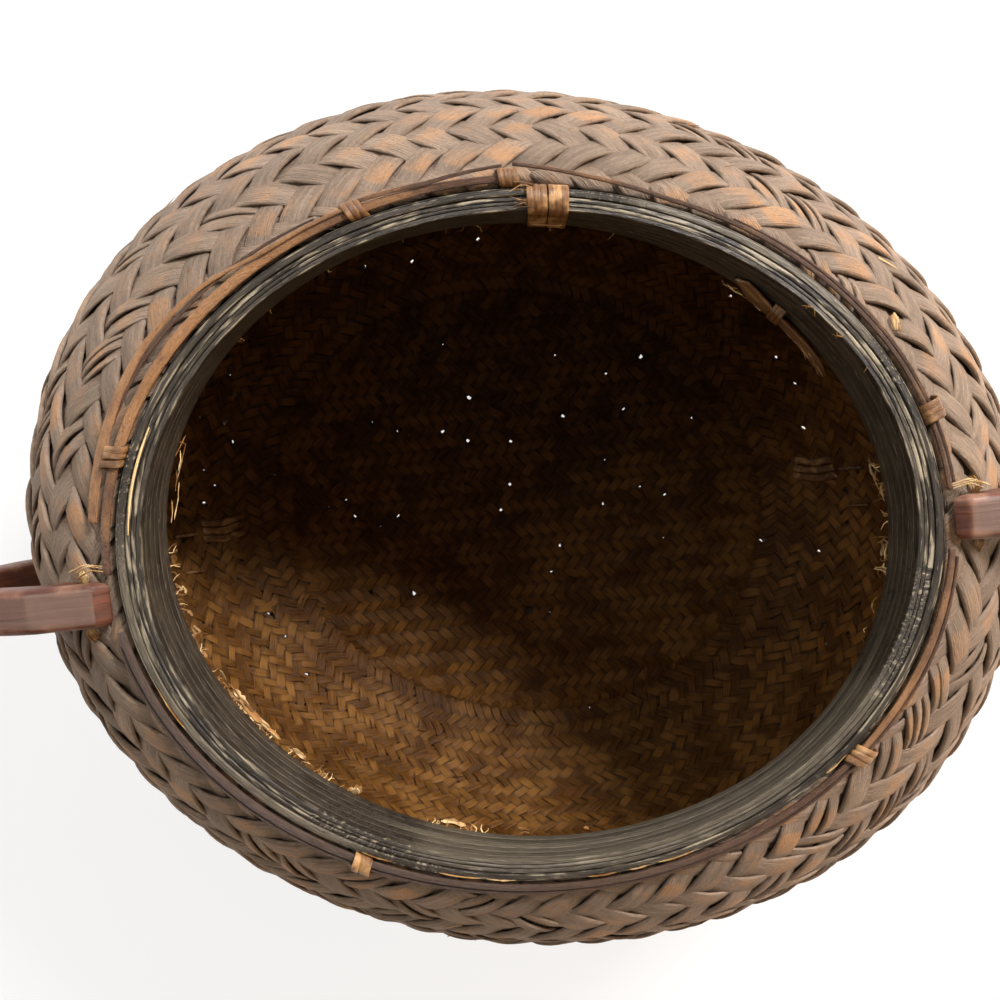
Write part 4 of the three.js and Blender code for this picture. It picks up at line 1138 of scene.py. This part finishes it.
# Slivers that stand off the lining, on its wall and its floor
def makeSlivers():
    slivers = {"count": 170, "shortest": 0.004, "longest": 0.012}
    depth = wall["thick"] + wall["fit"] + wall["lining"] + 0.0004
    line = smoothLine([p for p in insetLine(outerLine(), depth) if p[1] < 0.12])
    steps = np.linspace(0, 1, 6)
    ribbons = []
    for _ in range(slivers["count"]):
        angle, run = uniform(0, 2 * pi), uniform(0.002, line["run"][-1] + 0.10)
        length, way = uniform(slivers["shortest"], slivers["longest"]), uniform(0, pi)
        across, down = cos(way) * steps * length, sin(way) * steps * length
        if run < line["run"][-1]:
            path = onWall(line, angle + across / 0.15, run + down, -0.0007 * steps ** 2)
        else:
            radius = line["radius"][-1] * sqrt(uniform(0.02, 0.95))
            path = np.column_stack([radius * cos(angle) + across, radius * sin(angle) + down,
                                    wall["footHeight"] + depth + 0.0006 + 0.0008 * steps ** 2])
        addRibbon(ribbons, path, (-sin(way), cos(way), 0.1), (0.7, 0.6, 0.2), 0.2,
                  uniform(0, 0.6), uniform(0, 0.6))
    layRibbons("lining_slivers", ribbons, 4, 5, splintBamboo, "lining_bamboo")


# Stage: floor and background, near white to the camera, a pale floor and a weak world to everything else
def makeStage():
    bm = bmesh.new()
    bmesh.ops.create_circle(bm, cap_ends=True, segments=64, radius=4)
    floor = newObject("floor", meshFrom(bm, "floor"))
    floor.location.z = -0.0005
    material, tree, shader = newMaterial("pale_floor", 0.9, 0.2)
    shader.inputs["Base Color"].default_value = toLinear("#f4f3f1")
    glow = addNode(tree, "Emission", ["#ffffff", 1.0])
    ray = addNode(tree, "LightPath", (), "Is Camera Ray")
    away = addNode(tree, "VectorMath", [addNode(tree, "TexCoord", (), "Object")], "Value", operation="LENGTH")
    white = addNode(tree, "MapRange", [away, 0.35, 1.1, 0.78, 1.0], **smooth)
    seen = addNode(tree, "Math", [ray, white], operation="MULTIPLY")
    mix = addNode(tree, "MixShader", [seen, shader.outputs[0], glow])
    tree.links.new(mix, tree.nodes["Material Output"].inputs["Surface"])
    floor.data.materials.append(material)
    world = bpy.data.worlds.new("studio")
    bpy.context.scene.world = world
    world.use_nodes = True
    tree = world.node_tree
    light = tree.nodes["Background"]
    light.inputs["Color"].default_value = toLinear("#ffffff")
    light.inputs["Strength"].default_value = 0.13
    white = addNode(tree, "Background", ["#ffffff", 1.0])
    ray = addNode(tree, "LightPath", (), "Is Camera Ray")
    mix = addNode(tree, "MixShader", [ray, light.outputs[0], white])
    tree.links.new(mix, tree.nodes["World Output"].inputs["Surface"])


# Soft lamps that look at the basket: azimuth, elevation, distance, size, watts and colour
lamps = {
    "key": (48, 44.6, 1.7, 0.34, 41, "#fdfaff"),
    "window": (138, 52, 1.6, 0.5, 3, "#f6f4f0"),
    "fill left": (165, 22, 1.5, 1.2, 10, "#fff4ea"),
    "fill front": (-75, 14, 1.5, 1.2, 9, "#ffd9ae"),
    "fill back": (95, 24, 1.6, 1.3, 12, "#ffffff"),
    "fill right": (15, 20, 1.5, 1.2, 18, "#ffe4c4"),
}


def makeLight():
    for name, (azimuth, elevation, distance, size, power, colour) in lamps.items():
        data = bpy.data.lights.new(name, "AREA")
        data.size = size
        data.energy = power
        data.color = toLinear(colour)[:3]
        light = newObject(name, data)
        a, e = radians(azimuth), radians(elevation)
        way = Vector((cos(e) * cos(a), cos(e) * sin(a), sin(e)))
        light.location = way * distance + Vector((0, 0, 0.15))
        light.rotation_euler = way.to_track_quat("Z", "Y").to_euler()


stages = {
    "outer plait laid": [makeOuterPlait],
    "lining laid": [makeLining],
    "mouth made": [makeBand, makeHoop],
    "rim bound": [makeEdgeStrips, makeTies, makeWinding, makeBandTie],
    "handles made and lashed": [makeHandles, makeLashings, makeStraps],
    "foot and fibres made": [makeFoot, makeTornEnds, makeSplinters, makeSlivers],
    "stage lit": [makeStage, makeLight],
}
for report, steps in stages.items():
    for step in steps:
        step()
    print(report)
bpy.context.scene.view_settings.view_transform = "Standard"
